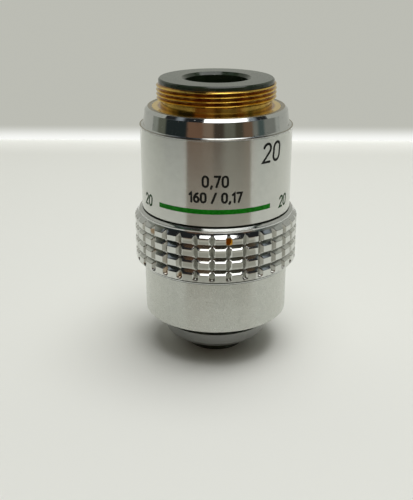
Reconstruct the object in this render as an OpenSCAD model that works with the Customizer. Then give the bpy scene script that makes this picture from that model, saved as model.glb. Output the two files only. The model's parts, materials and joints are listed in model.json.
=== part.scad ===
// Spring-loaded microscope objective: a threaded brass mount that carries a chromed housing,
// and a lens barrel that a coil spring holds out of the housing's front end.
// The rear thread points up. The origin is the centre of the front rim, on which it stands.
// The rear thread has a standard diameter. The other diameters follow from it by walls, steps and
// clearances: inwards to the bores and the lenses, and outwards to the grip ring and the collar.

/* [Rear thread and stop] */
// Major diameter of the standard rear thread
thread_d = 20.24; // [20.1:0.01:20.32]
// Length of the thread
thread_h = 2.6; // [2.2:0.05:4]
// Chamfer at the rear end of the thread
thread_chamfer = 0.3; // [0.1:0.05:0.5]
// Depth of the neck below the thread's crests
neck_cut = 0.69; // [0.5:0.01:0.8]
// Height of the neck
neck_h = 1.25; // [0.8:0.05:2]
// Wall between the neck and the rear bore
neck_wall = 1.23; // [1:0.01:1.6]
// Step from the thread's crests in to the stop's disc
stop_inset = 0.39; // [0.3:0.01:0.6]
// Height of the stop's disc
stop_h = 0.77; // [0.5:0.01:1.2]
// Bevel on the disc's outer edge
stop_bevel = 0.22; // [0.1:0.02:0.4]
// Width of the stop from the rear bore in to its hole
stop_web = 2.86; // [2.4:0.01:3.2]
// Width of the countersink at the hole
stop_sink = 0.5; // [0.2:0.05:0.8]
// Length of the stop's spigot in the mount
spigot_h = 1.9; // [1.2:0.1:2.4]

/* [Mount body] */
// Width of the spring's seat, from the rear bore out to the guide bore
spring_seat_w = 1.8; // [1.5:0.05:2.2]
// Distance from the shoulder down to the spring's seat
ledge_drop = 4.7; // [4:0.1:5.4]
// Wall of the guide tube
tube_wall = 1.38; // [1.2:0.01:1.5]
// Step from the guide tube in to the flange inside the collar
flange_inset = 0.48; // [0.3:0.01:0.7]
// Room above the barrel's stop flange at full travel
stop_room = 0.3; // [0.1:0.05:0.6]
// Clearance of the sliding fit, on the radius
slide_clear = 0.02; // [0.01:0.01:0.05]
// Clearance of the seated pieces, on the radius
seat_clear = 0.02; // [0.01:0.01:0.05]

/* [Upper sleeve] */
// Wall of the sleeve that carries the stripe
upper_wall = 1.59; // [1.4:0.01:1.7]
// Height of the upper sleeve
upper_h = 14.13; // [12:0.01:16]
// Bevel on both ends of the upper sleeve
upper_bevel = 0.08; // [0.02:0.01:0.2]
// Height of the stripe above the sleeve's lower end
stripe_rise = 2.14; // [1:0.01:6]
// Height of the stripe
stripe_h = 0.83; // [0.5:0.01:1.4]
// Depth of the groove that holds the stripe
stripe_depth = 0.1; // [0.05:0.01:0.3]
// Left end of the stripe, in degrees from the front
stripe_left = -46; // [-90:1:-10]
// Right end of the stripe, in degrees from the front
stripe_right = 43.3; // [10:0.1:90]

/* [Collar] */
// Height of the collar
collar_h = 3.2; // [2.6:0.05:4]
// Overhang of the collar's lip over the upper sleeve
collar_overhang = 0.08; // [0.02:0.01:0.2]
// Height of the lip's upright edge
collar_lip_h = 0.12; // [0.05:0.01:0.3]
// Width of the flare above the lip
collar_flare_w = 0.62; // [0.4:0.01:0.8]
// Height of the flare above the lip
collar_flare_h = 0.23; // [0.1:0.01:0.5]
// Taper of the collar from the flare up to the bevel, on the radius
collar_taper = 0.33; // [0:0.01:0.4]
// Height and width of the collar's top bevel
collar_bevel = 0.5; // [0.2:0.05:0.7]

/* [Grip ring] */
// Wall of the grip ring at the pads
grip_wall = 2.95; // [2.8:0.01:3.3]
// Height of the top row of pads
first_pad_h = 0.9; // [0.7:0.05:1.1]
// Height of the middle rows of pads
pad_h = 1.1; // [0.8:0.05:1.4]
// Height of the lowest row of pads
last_pad_h = 1.2; // [0.8:0.05:1.5]
// Number of grooves round the ring, between the rows
groove_count = 3; // [1:1:4]
// Width of a groove between the rows
groove_w = 1.1; // [0.7:0.05:1.2]
// Depth of a groove between the rows
groove_depth = 0.55; // [0.4:0.01:0.7]
// Number of upright grooves round the ring
flute_count = 32; // [24:4:40]
// Turn of the first upright groove from the front, in degrees
flute_turn = -2.5; // [-5:0.5:5]
// Width of an upright groove
flute_w = 1.1; // [0.7:0.05:1.3]
// Depth of an upright groove
flute_depth = 0.57; // [0.4:0.01:0.7]
// Land left below the upright grooves
flute_land = 0.12; // [0.05:0.01:0.3]
// Width of the chamfer above the pads
grip_chamfer_w = 0.78; // [0.6:0.01:0.9]
// Height of the chamfer above the pads
grip_chamfer_h = 0.83; // [0.6:0.01:1]
// Height of the polished edge above the chamfer
grip_edge_h = 0.3; // [0.1:0.02:0.5]
// Width of the polished bevel above the edge
grip_bevel_w = 0.52; // [0.3:0.01:0.7]
// Height of the polished bevel above the edge
grip_bevel_h = 0.29; // [0.1:0.01:0.5]
// Depth of the dark seam below the upper sleeve
seam_depth = 0.4; // [0.2:0.01:0.6]
// Height of the dark seam
seam_h = 0.25; // [0.1:0.01:0.5]

/* [Lower sleeve] */
// Wall of the sleeve below the grip ring
lower_wall = 1.42; // [1.2:0.01:1.7]
// Height of the sleeve below the grip ring
lower_h = 9.39; // [8:0.01:11]
// Bevel on the sleeve's front edge
lower_bevel = 0.15; // [0.05:0.05:0.4]
// Step from the pads in to the foot of the grip ring
foot_inset = 0.55; // [0.3:0.01:0.8]
// Height of the foot
foot_h = 0.75; // [0.4:0.05:1.2]
// Thickness of the lip that stops the barrel
lip_t = 1.2; // [0.8:0.1:1.6]
// Thickness of the shim that sets the focus distance
shim_t = 0.2; // [0.1:0.02:0.4]

/* [Nose] */
// Height of the open gap into which the nose can slide back
nose_gap = 1.88; // [1.2:0.02:2.4]
// Step from the barrel's neck out to the rear edge of the nose cap
nose_step = 0.46; // [0.2:0.01:0.7]
// Height of the tapered band
nose_band_h = 2.28; // [1.8:0.02:2.8]
// Taper of the band, on the radius
nose_taper = 0.91; // [0.5:0.01:1.2]
// Height of the bevel at the front of the nose cap
nose_bevel_h = 1.02; // [0.6:0.02:1.4]
// Width of the bevel
nose_bevel_w = 1.25; // [0.8:0.01:1.6]
// Width of the flat front face of the nose cap
nose_face_w = 1.45; // [1:0.01:1.8]
// Thickness of the nose cap's front wall
nose_front_t = 1.3; // [1:0.05:1.8]
// Wall of the nose cap at the bevel
cap_wall = 1; // [0.7:0.05:1.3]
// Height of the front cell below the nose cap
front_cell_h = 2.26; // [1.9:0.02:2.7]
// Taper of the front cell, on the radius
front_taper = 1.3; // [0.8:0.05:1.8]
// Diameter of the window in front of the first lens
front_window_d = 3.8; // [3:0.1:5]
// Thickness of the rim that holds the first lens
front_rim_t = 0.4; // [0.3:0.05:0.6]

/* [Lens barrel] */
// Step from the guide bore in to the barrel's neck
barrel_step = 0.35; // [0.2:0.01:0.5]
// Room between the neck and the lip, on the radius
lip_room = 0.12; // [0.05:0.01:0.2]
// Room round the stop flange, on the radius
flange_room = 0.15; // [0.05:0.01:0.3]
// Height of the stop flange
stop_flange_h = 1.6; // [1.2:0.1:2.2]
// Wall of the barrel round the cells
barrel_wall = 2.38; // [2:0.02:2.8]
// Width of the shelf on which the first inner cell stands
front_shelf_w = 2; // [1.6:0.05:2.4]
// Height from the nose cap's rear edge to that shelf
cell_seat_rise = 1; // [0.6:0.1:1.4]
// Height of the barrel above the retaining ring
barrel_rim_h = 0.5; // [0.3:0.1:1]
// Chamfer at the barrel's rear end
barrel_chamfer = 0.3; // [0.1:0.1:0.5]

/* [Guide screw] */
// Diameter of the guide screw
screw_d = 2; // [1.6:0.1:2.4]
// Height of the screw above the guide tube's front end
screw_rise = 9; // [7:0.5:11]
// Depth of the slot in the barrel
slot_depth = 1; // [0.8:0.1:1.2]
// Room beside and below the screw's tip in the slot
slot_room = 0.1; // [0.05:0.01:0.2]
// Width of the screwdriver slot
driver_w = 0.4; // [0.3:0.05:0.6]
// Depth of the screwdriver slot
driver_depth = 0.5; // [0.3:0.05:0.7]

/* [Return spring] */
// Diameter of the spring's wire
wire_d = 0.7; // [0.5:0.05:0.9]
// Room between the coils and the guide bore
coil_room = 0.55; // [0.2:0.05:0.9]
// Number of coils
coil_turns = 4.5; // [3.5:0.5:5.5]

/* [Lens cells] */
// Height of the seat lip at the front of each cell
cell_lip_h = 0.5; // [0.4:0.05:0.7]
// Width of the seat lip in each cell
cell_lip_w = 0.6; // [0.4:0.05:0.8]
// Wall of the meniscus cell
meniscus_wall = 2.76; // [2.4:0.02:3.2]
// Room behind the meniscus lens
meniscus_room = 0.66; // [0.3:0.02:1.2]
// Wall of the doublet cell
doublet_wall = 2.06; // [1.8:0.02:2.4]
// Room behind the doublet
doublet_room = 1.74; // [0.6:0.02:2.4]
// Wall of the triplet cell
triplet_wall = 1.56; // [1.3:0.02:1.9]
// Room behind the triplet
triplet_room = 1.1; // [0.6:0.05:1.8]
// Wall of the rear cell
rear_wall = 1.36; // [1.1:0.02:1.7]
// Room behind the rear doublet
rear_room = 1.1; // [0.6:0.05:1.8]
// Wall of the spacers
spacer_wall = 1.18; // [0.9:0.02:1.5]
// Height of the spacer behind the doublet
front_spacer_h = 1.4; // [1.1:0.1:1.8]
// Height of the spacer behind the triplet
rear_spacer_h = 1.8; // [1.4:0.1:2.2]
// Wall of the retaining ring
retainer_wall = 1.58; // [1.3:0.02:1.9]
// Height of the retaining ring
retainer_h = 1.4; // [1:0.1:1.8]

/* [Lenses] */
// Diameter of the front lens
front_lens_d = 6; // [5.6:0.1:6.4]
// Thickness of the front lens
front_lens_t = 3; // [2.7:0.1:3.3]
// Radius of the front lens's dome
front_lens_r = 4; // [3.7:0.1:4.6]
// Thickness of the meniscus lens at its middle
meniscus_t = 1.6; // [1.4:0.1:1.8]
// Radius of the meniscus lens's hollow side
meniscus_hollow_r = 13; // [12:0.5:16]
// Radius of the meniscus lens's domed side
meniscus_dome_r = 9; // [8:0.5:11]
// Radius of the doublet's front surface
doublet_front_r = 24; // [20:1:30]
// Thickness of the doublet's crown lens at its rim
doublet_crown_rim = 0.84; // [0.5:0.02:1.2]
// Radius of the doublet's cemented surface
doublet_joint_r = 14; // [12:0.5:18]
// Thickness of the doublet's flint lens at its middle
doublet_flint_t = 1; // [0.8:0.1:1.2]
// Thickness of the triplet's two outer lenses at their middle
triplet_outer_t = 1; // [0.8:0.1:1.2]
// Thickness of the triplet's middle lens at its rim
triplet_core_rim = 0.9; // [0.5:0.05:1.2]
// Radius of the triplet's two cemented surfaces
triplet_joint_r = 15; // [13:0.5:18]
// Thickness of the rear doublet's flint lens at its middle
rear_flint_t = 1; // [0.8:0.1:1.2]
// Thickness of the rear doublet's crown lens at its rim
rear_crown_rim = 0.26; // [0.2:0.02:0.6]
// Radius of the rear doublet's cemented surface
rear_joint_r = 20; // [17:0.5:26]
// Radius of the rear doublet's domed rear surface
rear_dome_r = 26; // [22:1:34]
// Width of the flat at the rim of a hollow lens surface
rim_flat = 0.2; // [0.1:0.05:0.3]

/* [Hidden] */
$fn = 96;
// Overlap by which a cutting shape passes the surface that it cuts
cut = 1;
// Direction of the front, seen from above
front_angle = -90;
// Share of a groove's width that the round run-out at its foot takes
runout_share = 0.97;
// Facets round a ball that shapes a lens
ball_facets = 240;
// Sides of the spring's wire, and rings of it in one coil
wire_sides = 8;
coil_rings = 24;

// Diameters at the rear end, from the thread in to the stop's hole
neck_d = thread_d - 2 * neck_cut;
rear_bore_d = neck_d - 2 * neck_wall;
stop_d = thread_d - 2 * stop_inset;
stop_hole_d = rear_bore_d - 2 * stop_web;

// Diameters of the sliding barrel and of what it holds
guide_d = rear_bore_d + 2 * spring_seat_w;
coil_d = guide_d - 2 * coil_room - wire_d;
slider_d = guide_d - 2 * slide_clear;
cell_bore_d = slider_d - 2 * barrel_wall;
cell_d = cell_bore_d - 2 * seat_clear;
front_bore_d = cell_bore_d - 2 * front_shelf_w;
front_spigot_d = front_bore_d - 2 * seat_clear;
spacer_bore_d = cell_d - 2 * spacer_wall;
retainer_bore_d = cell_d - 2 * retainer_wall;

// Diameter of the glass in a cell with the given wall
function glass_d(wall) = cell_d - 2 * (wall + seat_clear);
meniscus_d = glass_d(meniscus_wall);
doublet_d = glass_d(doublet_wall);
triplet_d = glass_d(triplet_wall);
rear_lens_d = glass_d(rear_wall);

// Diameters of the housing, from the guide tube out
tube_d = guide_d + 2 * tube_wall;
flange_d = tube_d - 2 * flange_inset;
sleeve_bore_d = tube_d + 2 * seat_clear;
stop_flange_d = sleeve_bore_d - 2 * flange_room;
upper_d = sleeve_bore_d + 2 * upper_wall;
collar_lip_d = upper_d + 2 * collar_overhang;
collar_waist_d = collar_lip_d - 2 * collar_flare_w;
collar_top_d = collar_waist_d - 2 * collar_taper;
grip_d = sleeve_bore_d + 2 * grip_wall;
foot_d = grip_d - 2 * foot_inset;
grip_edge_d = grip_d - 2 * grip_chamfer_w;
grip_top_d = grip_edge_d - 2 * grip_bevel_w;
seam_d = grip_top_d - 2 * seam_depth;
lower_d = sleeve_bore_d + 2 * lower_wall;

// Diameters of the nose, from the barrel's neck to the front rim
barrel_neck_d = guide_d - 2 * barrel_step;
lip_bore_d = barrel_neck_d + 2 * lip_room;
nose_rear_d = barrel_neck_d + 2 * nose_step;
nose_waist_d = nose_rear_d - 2 * nose_taper;
nose_front_d = nose_waist_d - 2 * nose_bevel_w;
cap_joint_d = nose_waist_d - 2 * cap_wall;
cap_spigot_d = cap_joint_d - 2 * seat_clear;
front_cell_d = nose_front_d - 2 * nose_face_w;
front_rim_d = front_cell_d - 2 * front_taper;

// Heights of the outer pieces, from the front rim up
groove_pitch = groove_w + pad_h;
grip_h = first_pad_h + groove_w + (groove_count - 1) * groove_pitch + last_pad_h;
cap_z = front_cell_h;
cap_waist_z = cap_z + nose_bevel_h;
cap_rear_z = cap_waist_z + nose_band_h;
lower_z = cap_rear_z + nose_gap;
foot_z = lower_z + lower_h;
grip_z = foot_z + foot_h;
grip_chamfer_z = grip_z + grip_h;
grip_edge_z = grip_chamfer_z + grip_chamfer_h;
grip_bevel_z = grip_edge_z + grip_edge_h;
grip_top_z = grip_bevel_z + grip_bevel_h;
upper_z = grip_top_z + seam_h;
stripe_z = upper_z + stripe_rise;
collar_z = upper_z + upper_h;
shoulder_z = collar_z + collar_h;
thread_z = shoulder_z + neck_h;
thread_top_z = thread_z + thread_h;
rear_z = thread_top_z + stop_h;

// Heights of the barrel's stop flange and of the guide
lip_z = lower_z + lip_t;
stop_flange_z = lip_z + shim_t;
stop_flange_top_z = stop_flange_z + stop_flange_h;
tube_z = stop_flange_top_z + nose_gap + stop_room;
screw_z = tube_z + screw_rise;
ledge_z = shoulder_z - ledge_drop;

// Drop from the middle of a lens surface to its edge
function sag(d, r) = r - sqrt(r * r - d * d / 4);
// The same for a hollow surface, which stops at the flat on its rim
function hollow_sag(d, r) = sag(d - 2 * rim_flat, r);

// Heights of the lens stack, from the shelf up: each lens at its middle, and each cell's front end.
// The doublet's domed front rests on the inner edge of its cell's lip.
meniscus_z = cap_rear_z + cell_seat_rise;
meniscus_low = meniscus_z + cell_lip_h + hollow_sag(meniscus_d, meniscus_hollow_r);
meniscus_high = meniscus_low + meniscus_t;
doublet_z = meniscus_high + meniscus_room;
doublet_low = doublet_z + cell_lip_h + seat_clear - sag(doublet_d - 2 * cell_lip_w, doublet_front_r);
doublet_crown_t = sag(doublet_d, doublet_front_r) + doublet_crown_rim + sag(doublet_d, doublet_joint_r);
doublet_mid = doublet_low + doublet_crown_t;
doublet_high = doublet_mid + doublet_flint_t;
front_spacer_z = doublet_high + doublet_room;
triplet_z = front_spacer_z + front_spacer_h;
triplet_low = triplet_z + cell_lip_h;
triplet_mid_low = triplet_low + triplet_outer_t;
triplet_mid_high = triplet_mid_low + triplet_core_rim + 2 * sag(triplet_d, triplet_joint_r);
triplet_high = triplet_mid_high + triplet_outer_t;
rear_spacer_z = triplet_high + triplet_room;
rear_cell_z = rear_spacer_z + rear_spacer_h;
rear_low = rear_cell_z + cell_lip_h;
rear_mid = rear_low + rear_flint_t;
rear_high = rear_mid + sag(rear_lens_d, rear_joint_r) + rear_crown_rim + sag(rear_lens_d, rear_dome_r);
retainer_z = rear_high + rear_room;
barrel_top_z = retainer_z + retainer_h + barrel_rim_h;

// Ring with a square section, standing on z
module ring(outer_d, inner_d, z, h) {
    translate([0, 0, z]) difference() {
        cylinder(d = outer_d, h = h);
        translate([0, 0, -cut]) cylinder(d = inner_d, h = h + 2 * cut);
    }
}

module mount_body() {
    color("#b98a2e") difference() {
        rotate_extrude() polygon([
            [guide_d / 2, tube_z],
            [tube_d / 2, tube_z],
            [tube_d / 2, collar_z],
            [flange_d / 2 - seat_clear, collar_z],
            [flange_d / 2 - seat_clear, shoulder_z],
            [neck_d / 2, shoulder_z],
            [neck_d / 2, thread_z],
            [thread_d / 2, thread_z],
            [thread_d / 2, thread_top_z - thread_chamfer],
            [thread_d / 2 - thread_chamfer, thread_top_z],
            [rear_bore_d / 2, thread_top_z],
            [rear_bore_d / 2, ledge_z],
            [guide_d / 2, ledge_z]
        ]);
        translate([0, 0, screw_z]) rotate([-90, 0, 0]) cylinder(d = screw_d, h = tube_d);
    }
}

module rear_stop() {
    hole_r = stop_hole_d / 2;
    spigot_r = rear_bore_d / 2 - seat_clear;
    color("#2a2c2a") rotate_extrude() polygon([
        [hole_r, thread_top_z - spigot_h],
        [spigot_r, thread_top_z - spigot_h],
        [spigot_r, thread_top_z],
        [stop_d / 2, thread_top_z],
        [stop_d / 2, rear_z - stop_bevel],
        [stop_d / 2 - stop_bevel, rear_z],
        [hole_r + stop_sink, rear_z],
        [hole_r, rear_z - stop_sink]
    ]);
}

module collar() {
    lip_top_z = collar_z + collar_lip_h;
    color("#c9cbc8") rotate_extrude() polygon([
        [flange_d / 2, collar_z],
        [collar_lip_d / 2, collar_z],
        [collar_lip_d / 2, lip_top_z],
        [collar_waist_d / 2, lip_top_z + collar_flare_h],
        [collar_top_d / 2, shoulder_z - collar_bevel],
        [collar_top_d / 2 - collar_bevel, shoulder_z],
        [flange_d / 2, shoulder_z]
    ]);
}

// Band of the stripe, from its groove's bottom out to the given radius
module stripe_band(outer_r) {
    inner_r = upper_d / 2 - stripe_depth;
    rotate([0, 0, front_angle + stripe_left])
        rotate_extrude(angle = stripe_right - stripe_left)
            translate([inner_r, stripe_z])
                square([outer_r - inner_r, stripe_h]);
}

module upper_sleeve() {
    color("#b9bab4") difference() {
        rotate_extrude() polygon([
            [sleeve_bore_d / 2, upper_z],
            [upper_d / 2 - upper_bevel, upper_z],
            [upper_d / 2, upper_z + upper_bevel],
            [upper_d / 2, collar_z - upper_bevel],
            [upper_d / 2 - upper_bevel, collar_z],
            [sleeve_bore_d / 2, collar_z]
        ]);
        stripe_band(upper_d / 2 + cut);
    }
}

module color_stripe() {
    color("#1c6a12") stripe_band(upper_d / 2);
}

// Outline of the grip ring and the sleeve below it, with the grooves between the rows
module grip_outline() {
    pad_r = grip_d / 2;
    groove_r = pad_r - groove_depth;
    polygon([
        [lip_bore_d / 2, lower_z],
        [lower_d / 2 - lower_bevel, lower_z],
        [lower_d / 2, lower_z + lower_bevel],
        [lower_d / 2, foot_z],
        [foot_d / 2, foot_z],
        [foot_d / 2, grip_z],
        [pad_r, grip_z],
        for (i = [groove_count - 1 : -1 : 0])
            let (top_z = grip_chamfer_z - first_pad_h - i * groove_pitch)
                each [[pad_r, top_z - groove_w], [groove_r, top_z - groove_w / 2], [pad_r, top_z]],
        [pad_r, grip_chamfer_z],
        [grip_edge_d / 2, grip_edge_z],
        [grip_edge_d / 2, grip_bevel_z],
        [grip_top_d / 2, grip_top_z],
        [seam_d / 2, grip_top_z],
        [seam_d / 2, upper_z],
        [sleeve_bore_d / 2, upper_z],
        [sleeve_bore_d / 2, lip_z],
        [lip_bore_d / 2, lip_z]
    ]);
}

// Upright V groove that is open at the top and runs out round at its foot
module flute_cutter() {
    root_r = grip_d / 2 - flute_depth;
    reach = flute_depth + cut;
    half_w = flute_w / 2 * reach / flute_depth;
    foot = grip_z + flute_land + flute_w / 2;
    translate([root_r, 0, foot])
        linear_extrude(height = grip_top_z + cut - foot)
            polygon([[0, 0], [reach, -half_w], [reach, half_w]]);
    translate([root_r, 0, foot]) rotate([0, 90, 0])
        cylinder(r1 = 0, r2 = half_w * runout_share, h = reach);
}

module grip_sleeve() {
    color("#b3b5af") difference() {
        rotate_extrude() grip_outline();
        for (i = [0 : flute_count - 1])
            rotate([0, 0, front_angle + flute_turn + i * 360 / flute_count]) flute_cutter();
    }
}

module guide_screw() {
    tip_y = slider_d / 2 - slot_depth + slot_room;
    head_y = tube_d / 2;
    color("#6c6c6a") difference() {
        translate([0, tip_y, screw_z]) rotate([-90, 0, 0])
            cylinder(d = screw_d - 2 * seat_clear, h = head_y - tip_y - seat_clear);
        translate([-screw_d, head_y - driver_depth, screw_z - driver_w / 2])
            cube([2 * screw_d, driver_depth + cut, driver_w]);
    }
}

// Height along the spring for a share of its length: slow at both ends, so the ends close
function coil_rise(share) = share * share * (3 - 2 * share);

// Ring of points round the wire where it has gone the given share of its length
function wire_ring(share, low, high) =
    let (turn = 360 * coil_turns * share)
    [for (k = [0 : wire_sides - 1])
        let (a = 360 * k / wire_sides, r = coil_d / 2 + wire_d / 2 * cos(a))
        [r * cos(turn), r * sin(turn),
         low + (high - low) * coil_rise(share) + wire_d / 2 * sin(a)]];

module return_spring() {
    low = barrel_top_z + wire_d / 2;
    high = ledge_z - wire_d / 2;
    steps = coil_turns * coil_rings;
    points = [for (i = [0 : steps]) each wire_ring(i / steps, low, high)];
    walls = [for (i = [0 : steps - 1], k = [0 : wire_sides - 1])
        let (next = (k + 1) % wire_sides, a = i * wire_sides, b = a + wire_sides)
        [a + k, b + k, b + next, a + next]];
    first_end = [for (k = [0 : wire_sides - 1]) k];
    last_end = [for (k = [wire_sides - 1 : -1 : 0]) steps * wire_sides + k];
    color("#8d8f8e") polyhedron(points, concat(walls, [first_end, last_end]));
}

module parfocal_shim() {
    color("#c7a04a") ring(sleeve_bore_d - 2 * seat_clear, lip_bore_d, lip_z, shim_t);
}

module lens_barrel() {
    spigot_z = cap_z + nose_front_t;
    slider_r = slider_d / 2;
    slot_low = screw_z - nose_gap - screw_d / 2 - slot_room;
    slot_high = screw_z + screw_d / 2 + slot_room;
    slot_w = screw_d + 2 * slot_room;
    color("#3a3c3b") difference() {
        rotate_extrude() polygon([
            [front_bore_d / 2, spigot_z],
            [cap_spigot_d / 2, spigot_z],
            [cap_spigot_d / 2, cap_rear_z],
            [barrel_neck_d / 2, cap_rear_z],
            [barrel_neck_d / 2, stop_flange_z],
            [stop_flange_d / 2, stop_flange_z],
            [stop_flange_d / 2, stop_flange_top_z],
            [slider_r, stop_flange_top_z],
            [slider_r, barrel_top_z - barrel_chamfer],
            [slider_r - barrel_chamfer, barrel_top_z],
            [cell_bore_d / 2, barrel_top_z],
            [cell_bore_d / 2, meniscus_z],
            [front_bore_d / 2, meniscus_z]
        ]);
        translate([-slot_w / 2, slider_r - slot_depth, slot_low])
            cube([slot_w, slot_depth + cut, slot_high - slot_low]);
    }
}

module nose_cap() {
    color("#9d9f9a") rotate_extrude() polygon([
        [front_bore_d / 2, cap_z],
        [nose_front_d / 2, cap_z],
        [nose_waist_d / 2, cap_waist_z],
        [nose_rear_d / 2, cap_rear_z],
        [cap_joint_d / 2, cap_rear_z],
        [cap_joint_d / 2, cap_z + nose_front_t],
        [front_bore_d / 2, cap_z + nose_front_t]
    ]);
}

module front_cell() {
    lens_r = front_lens_d / 2 + seat_clear;
    lens_edge_z = front_rim_t + front_lens_t - sag(front_lens_d, front_lens_r);
    spigot_r = front_spigot_d / 2;
    color("#1d1f1e") rotate_extrude() polygon([
        [front_window_d / 2, front_rim_t / 2],
        [front_window_d / 2 + front_rim_t / 2, 0],
        [front_rim_d / 2, 0],
        [front_cell_d / 2, cap_z],
        [spigot_r, cap_z],
        [spigot_r, meniscus_z],
        [spigot_r - cell_lip_w, meniscus_z],
        [lens_r, lens_edge_z],
        [lens_r, front_rim_t],
        [front_window_d / 2, front_rim_t]
    ]);
}

// Disc of glass between two heights at its middle; the next four modules shape its faces
module glass_disc(d, low, high) {
    translate([0, 0, low]) cylinder(d = d, h = high - low);
}

module dome_below(low, r) {
    intersection() {
        children();
        translate([0, 0, low + r]) sphere(r = r, $fn = ball_facets);
    }
}

module dome_above(high, r) {
    intersection() {
        children();
        translate([0, 0, high - r]) sphere(r = r, $fn = ball_facets);
    }
}

module hollow_below(low, r) {
    difference() {
        children();
        translate([0, 0, low - r]) sphere(r = r, $fn = ball_facets);
    }
}

module hollow_above(high, r) {
    difference() {
        children();
        translate([0, 0, high + r]) sphere(r = r, $fn = ball_facets);
    }
}

// Cell with a seat lip at its front and a straight bore for a glass of diameter d
module cell(low, high, d) {
    difference() {
        ring(cell_d, d - 2 * cell_lip_w, low, high - low);
        translate([0, 0, low + cell_lip_h]) cylinder(d = d + 2 * seat_clear, h = high - low);
    }
}

module front_lens() {
    color("#9fc4c0", 0.5)
        dome_above(front_rim_t + front_lens_t, front_lens_r)
            glass_disc(front_lens_d, front_rim_t, front_rim_t + front_lens_t);
}

module meniscus_cell() {
    color("#77716a") cell(meniscus_z, doublet_z, meniscus_d);
}

module meniscus_lens() {
    color("#9fc4c0", 0.5)
        dome_above(meniscus_high, meniscus_dome_r)
            hollow_below(meniscus_low, meniscus_hollow_r)
                glass_disc(meniscus_d, meniscus_z + cell_lip_h, meniscus_high);
}

module doublet_cell() {
    color("#77716a") cell(doublet_z, front_spacer_z, doublet_d);
}

module doublet_crown() {
    color("#9fc4c0", 0.5)
        dome_above(doublet_mid, doublet_joint_r)
            dome_below(doublet_low, doublet_front_r)
                glass_disc(doublet_d, doublet_low, doublet_mid);
}

module doublet_flint() {
    edge_z = doublet_mid - hollow_sag(doublet_d, doublet_joint_r);
    color("#b9c9a4", 0.5) hollow_below(doublet_mid, doublet_joint_r)
        glass_disc(doublet_d, edge_z, doublet_high);
}

module front_spacer() {
    color("#c7a04a") ring(cell_d, spacer_bore_d, front_spacer_z, front_spacer_h);
}

module triplet_cell() {
    color("#77716a") cell(triplet_z, rear_spacer_z, triplet_d);
}

module triplet_front() {
    edge_z = triplet_mid_low + hollow_sag(triplet_d, triplet_joint_r);
    color("#b9c9a4", 0.5) hollow_above(triplet_mid_low, triplet_joint_r)
        glass_disc(triplet_d, triplet_low, edge_z);
}

module triplet_core() {
    color("#9fc4c0", 0.5)
        dome_above(triplet_mid_high, triplet_joint_r)
            dome_below(triplet_mid_low, triplet_joint_r)
                glass_disc(triplet_d, triplet_mid_low, triplet_mid_high);
}

module triplet_rear() {
    edge_z = triplet_mid_high - hollow_sag(triplet_d, triplet_joint_r);
    color("#b9c9a4", 0.5) hollow_below(triplet_mid_high, triplet_joint_r)
        glass_disc(triplet_d, edge_z, triplet_high);
}

module rear_spacer() {
    color("#c7a04a") ring(cell_d, spacer_bore_d, rear_spacer_z, rear_spacer_h);
}

module rear_cell() {
    color("#77716a") cell(rear_cell_z, retainer_z, rear_lens_d);
}

module rear_flint() {
    edge_z = rear_mid + hollow_sag(rear_lens_d, rear_joint_r);
    color("#b9c9a4", 0.5) hollow_above(rear_mid, rear_joint_r)
        glass_disc(rear_lens_d, rear_low, edge_z);
}

module rear_crown() {
    color("#9fc4c0", 0.5)
        dome_above(rear_high, rear_dome_r)
            dome_below(rear_mid, rear_joint_r)
                glass_disc(rear_lens_d, rear_mid, rear_high);
}

module retaining_ring() {
    color("#2f3130") difference() {
        ring(cell_d, retainer_bore_d, retainer_z, retainer_h);
        translate([-cell_d, -driver_w, retainer_z + retainer_h - driver_depth])
            cube([2 * cell_d, 2 * driver_w, driver_depth + cut]);
    }
}

mount_body();
rear_stop();
collar();
upper_sleeve();
color_stripe();
grip_sleeve();
guide_screw();
return_spring();
parfocal_shim();
lens_barrel();
nose_cap();
front_cell();
front_lens();
meniscus_cell();
meniscus_lens();
doublet_cell();
doublet_crown();
doublet_flint();
front_spacer();
triplet_cell();
triplet_front();
triplet_core();
triplet_rear();
rear_spacer();
rear_cell();
rear_flint();
rear_crown();
retaining_ring();
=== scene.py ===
"""A spring-loaded microscope objective: the looks of its turned, threaded, padded and printed pieces.

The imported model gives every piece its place. Each turned shell is spun here from a fine outline, the
thread and the grip ring's grooves are cut into the spun shells, and each finish is a node material.
"""

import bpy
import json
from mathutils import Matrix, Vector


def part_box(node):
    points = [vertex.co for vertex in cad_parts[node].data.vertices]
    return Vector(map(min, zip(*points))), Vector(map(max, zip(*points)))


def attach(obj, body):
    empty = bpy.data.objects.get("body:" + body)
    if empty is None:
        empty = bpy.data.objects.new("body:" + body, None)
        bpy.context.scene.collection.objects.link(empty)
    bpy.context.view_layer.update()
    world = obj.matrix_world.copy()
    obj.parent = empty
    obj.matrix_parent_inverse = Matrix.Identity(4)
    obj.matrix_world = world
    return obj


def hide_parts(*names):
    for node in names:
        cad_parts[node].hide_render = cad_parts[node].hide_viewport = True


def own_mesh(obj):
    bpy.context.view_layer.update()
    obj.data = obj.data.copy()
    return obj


bl_info = {
    "name": "Microscope objective",
    "version": (1, 0, 0),
    "blender": (4, 5, 0),
    "location": "3D View > Sidebar > Objective",
    "description": "Dresses a microscope objective: thread, chromed housing, grip ring, numerals and stage",
    "category": "Add Mesh",
}

import json
import math

import bmesh
import bpy
from bpy.props import FloatProperty, FloatVectorProperty, IntProperty, PointerProperty
from mathutils import Matrix, Vector

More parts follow.
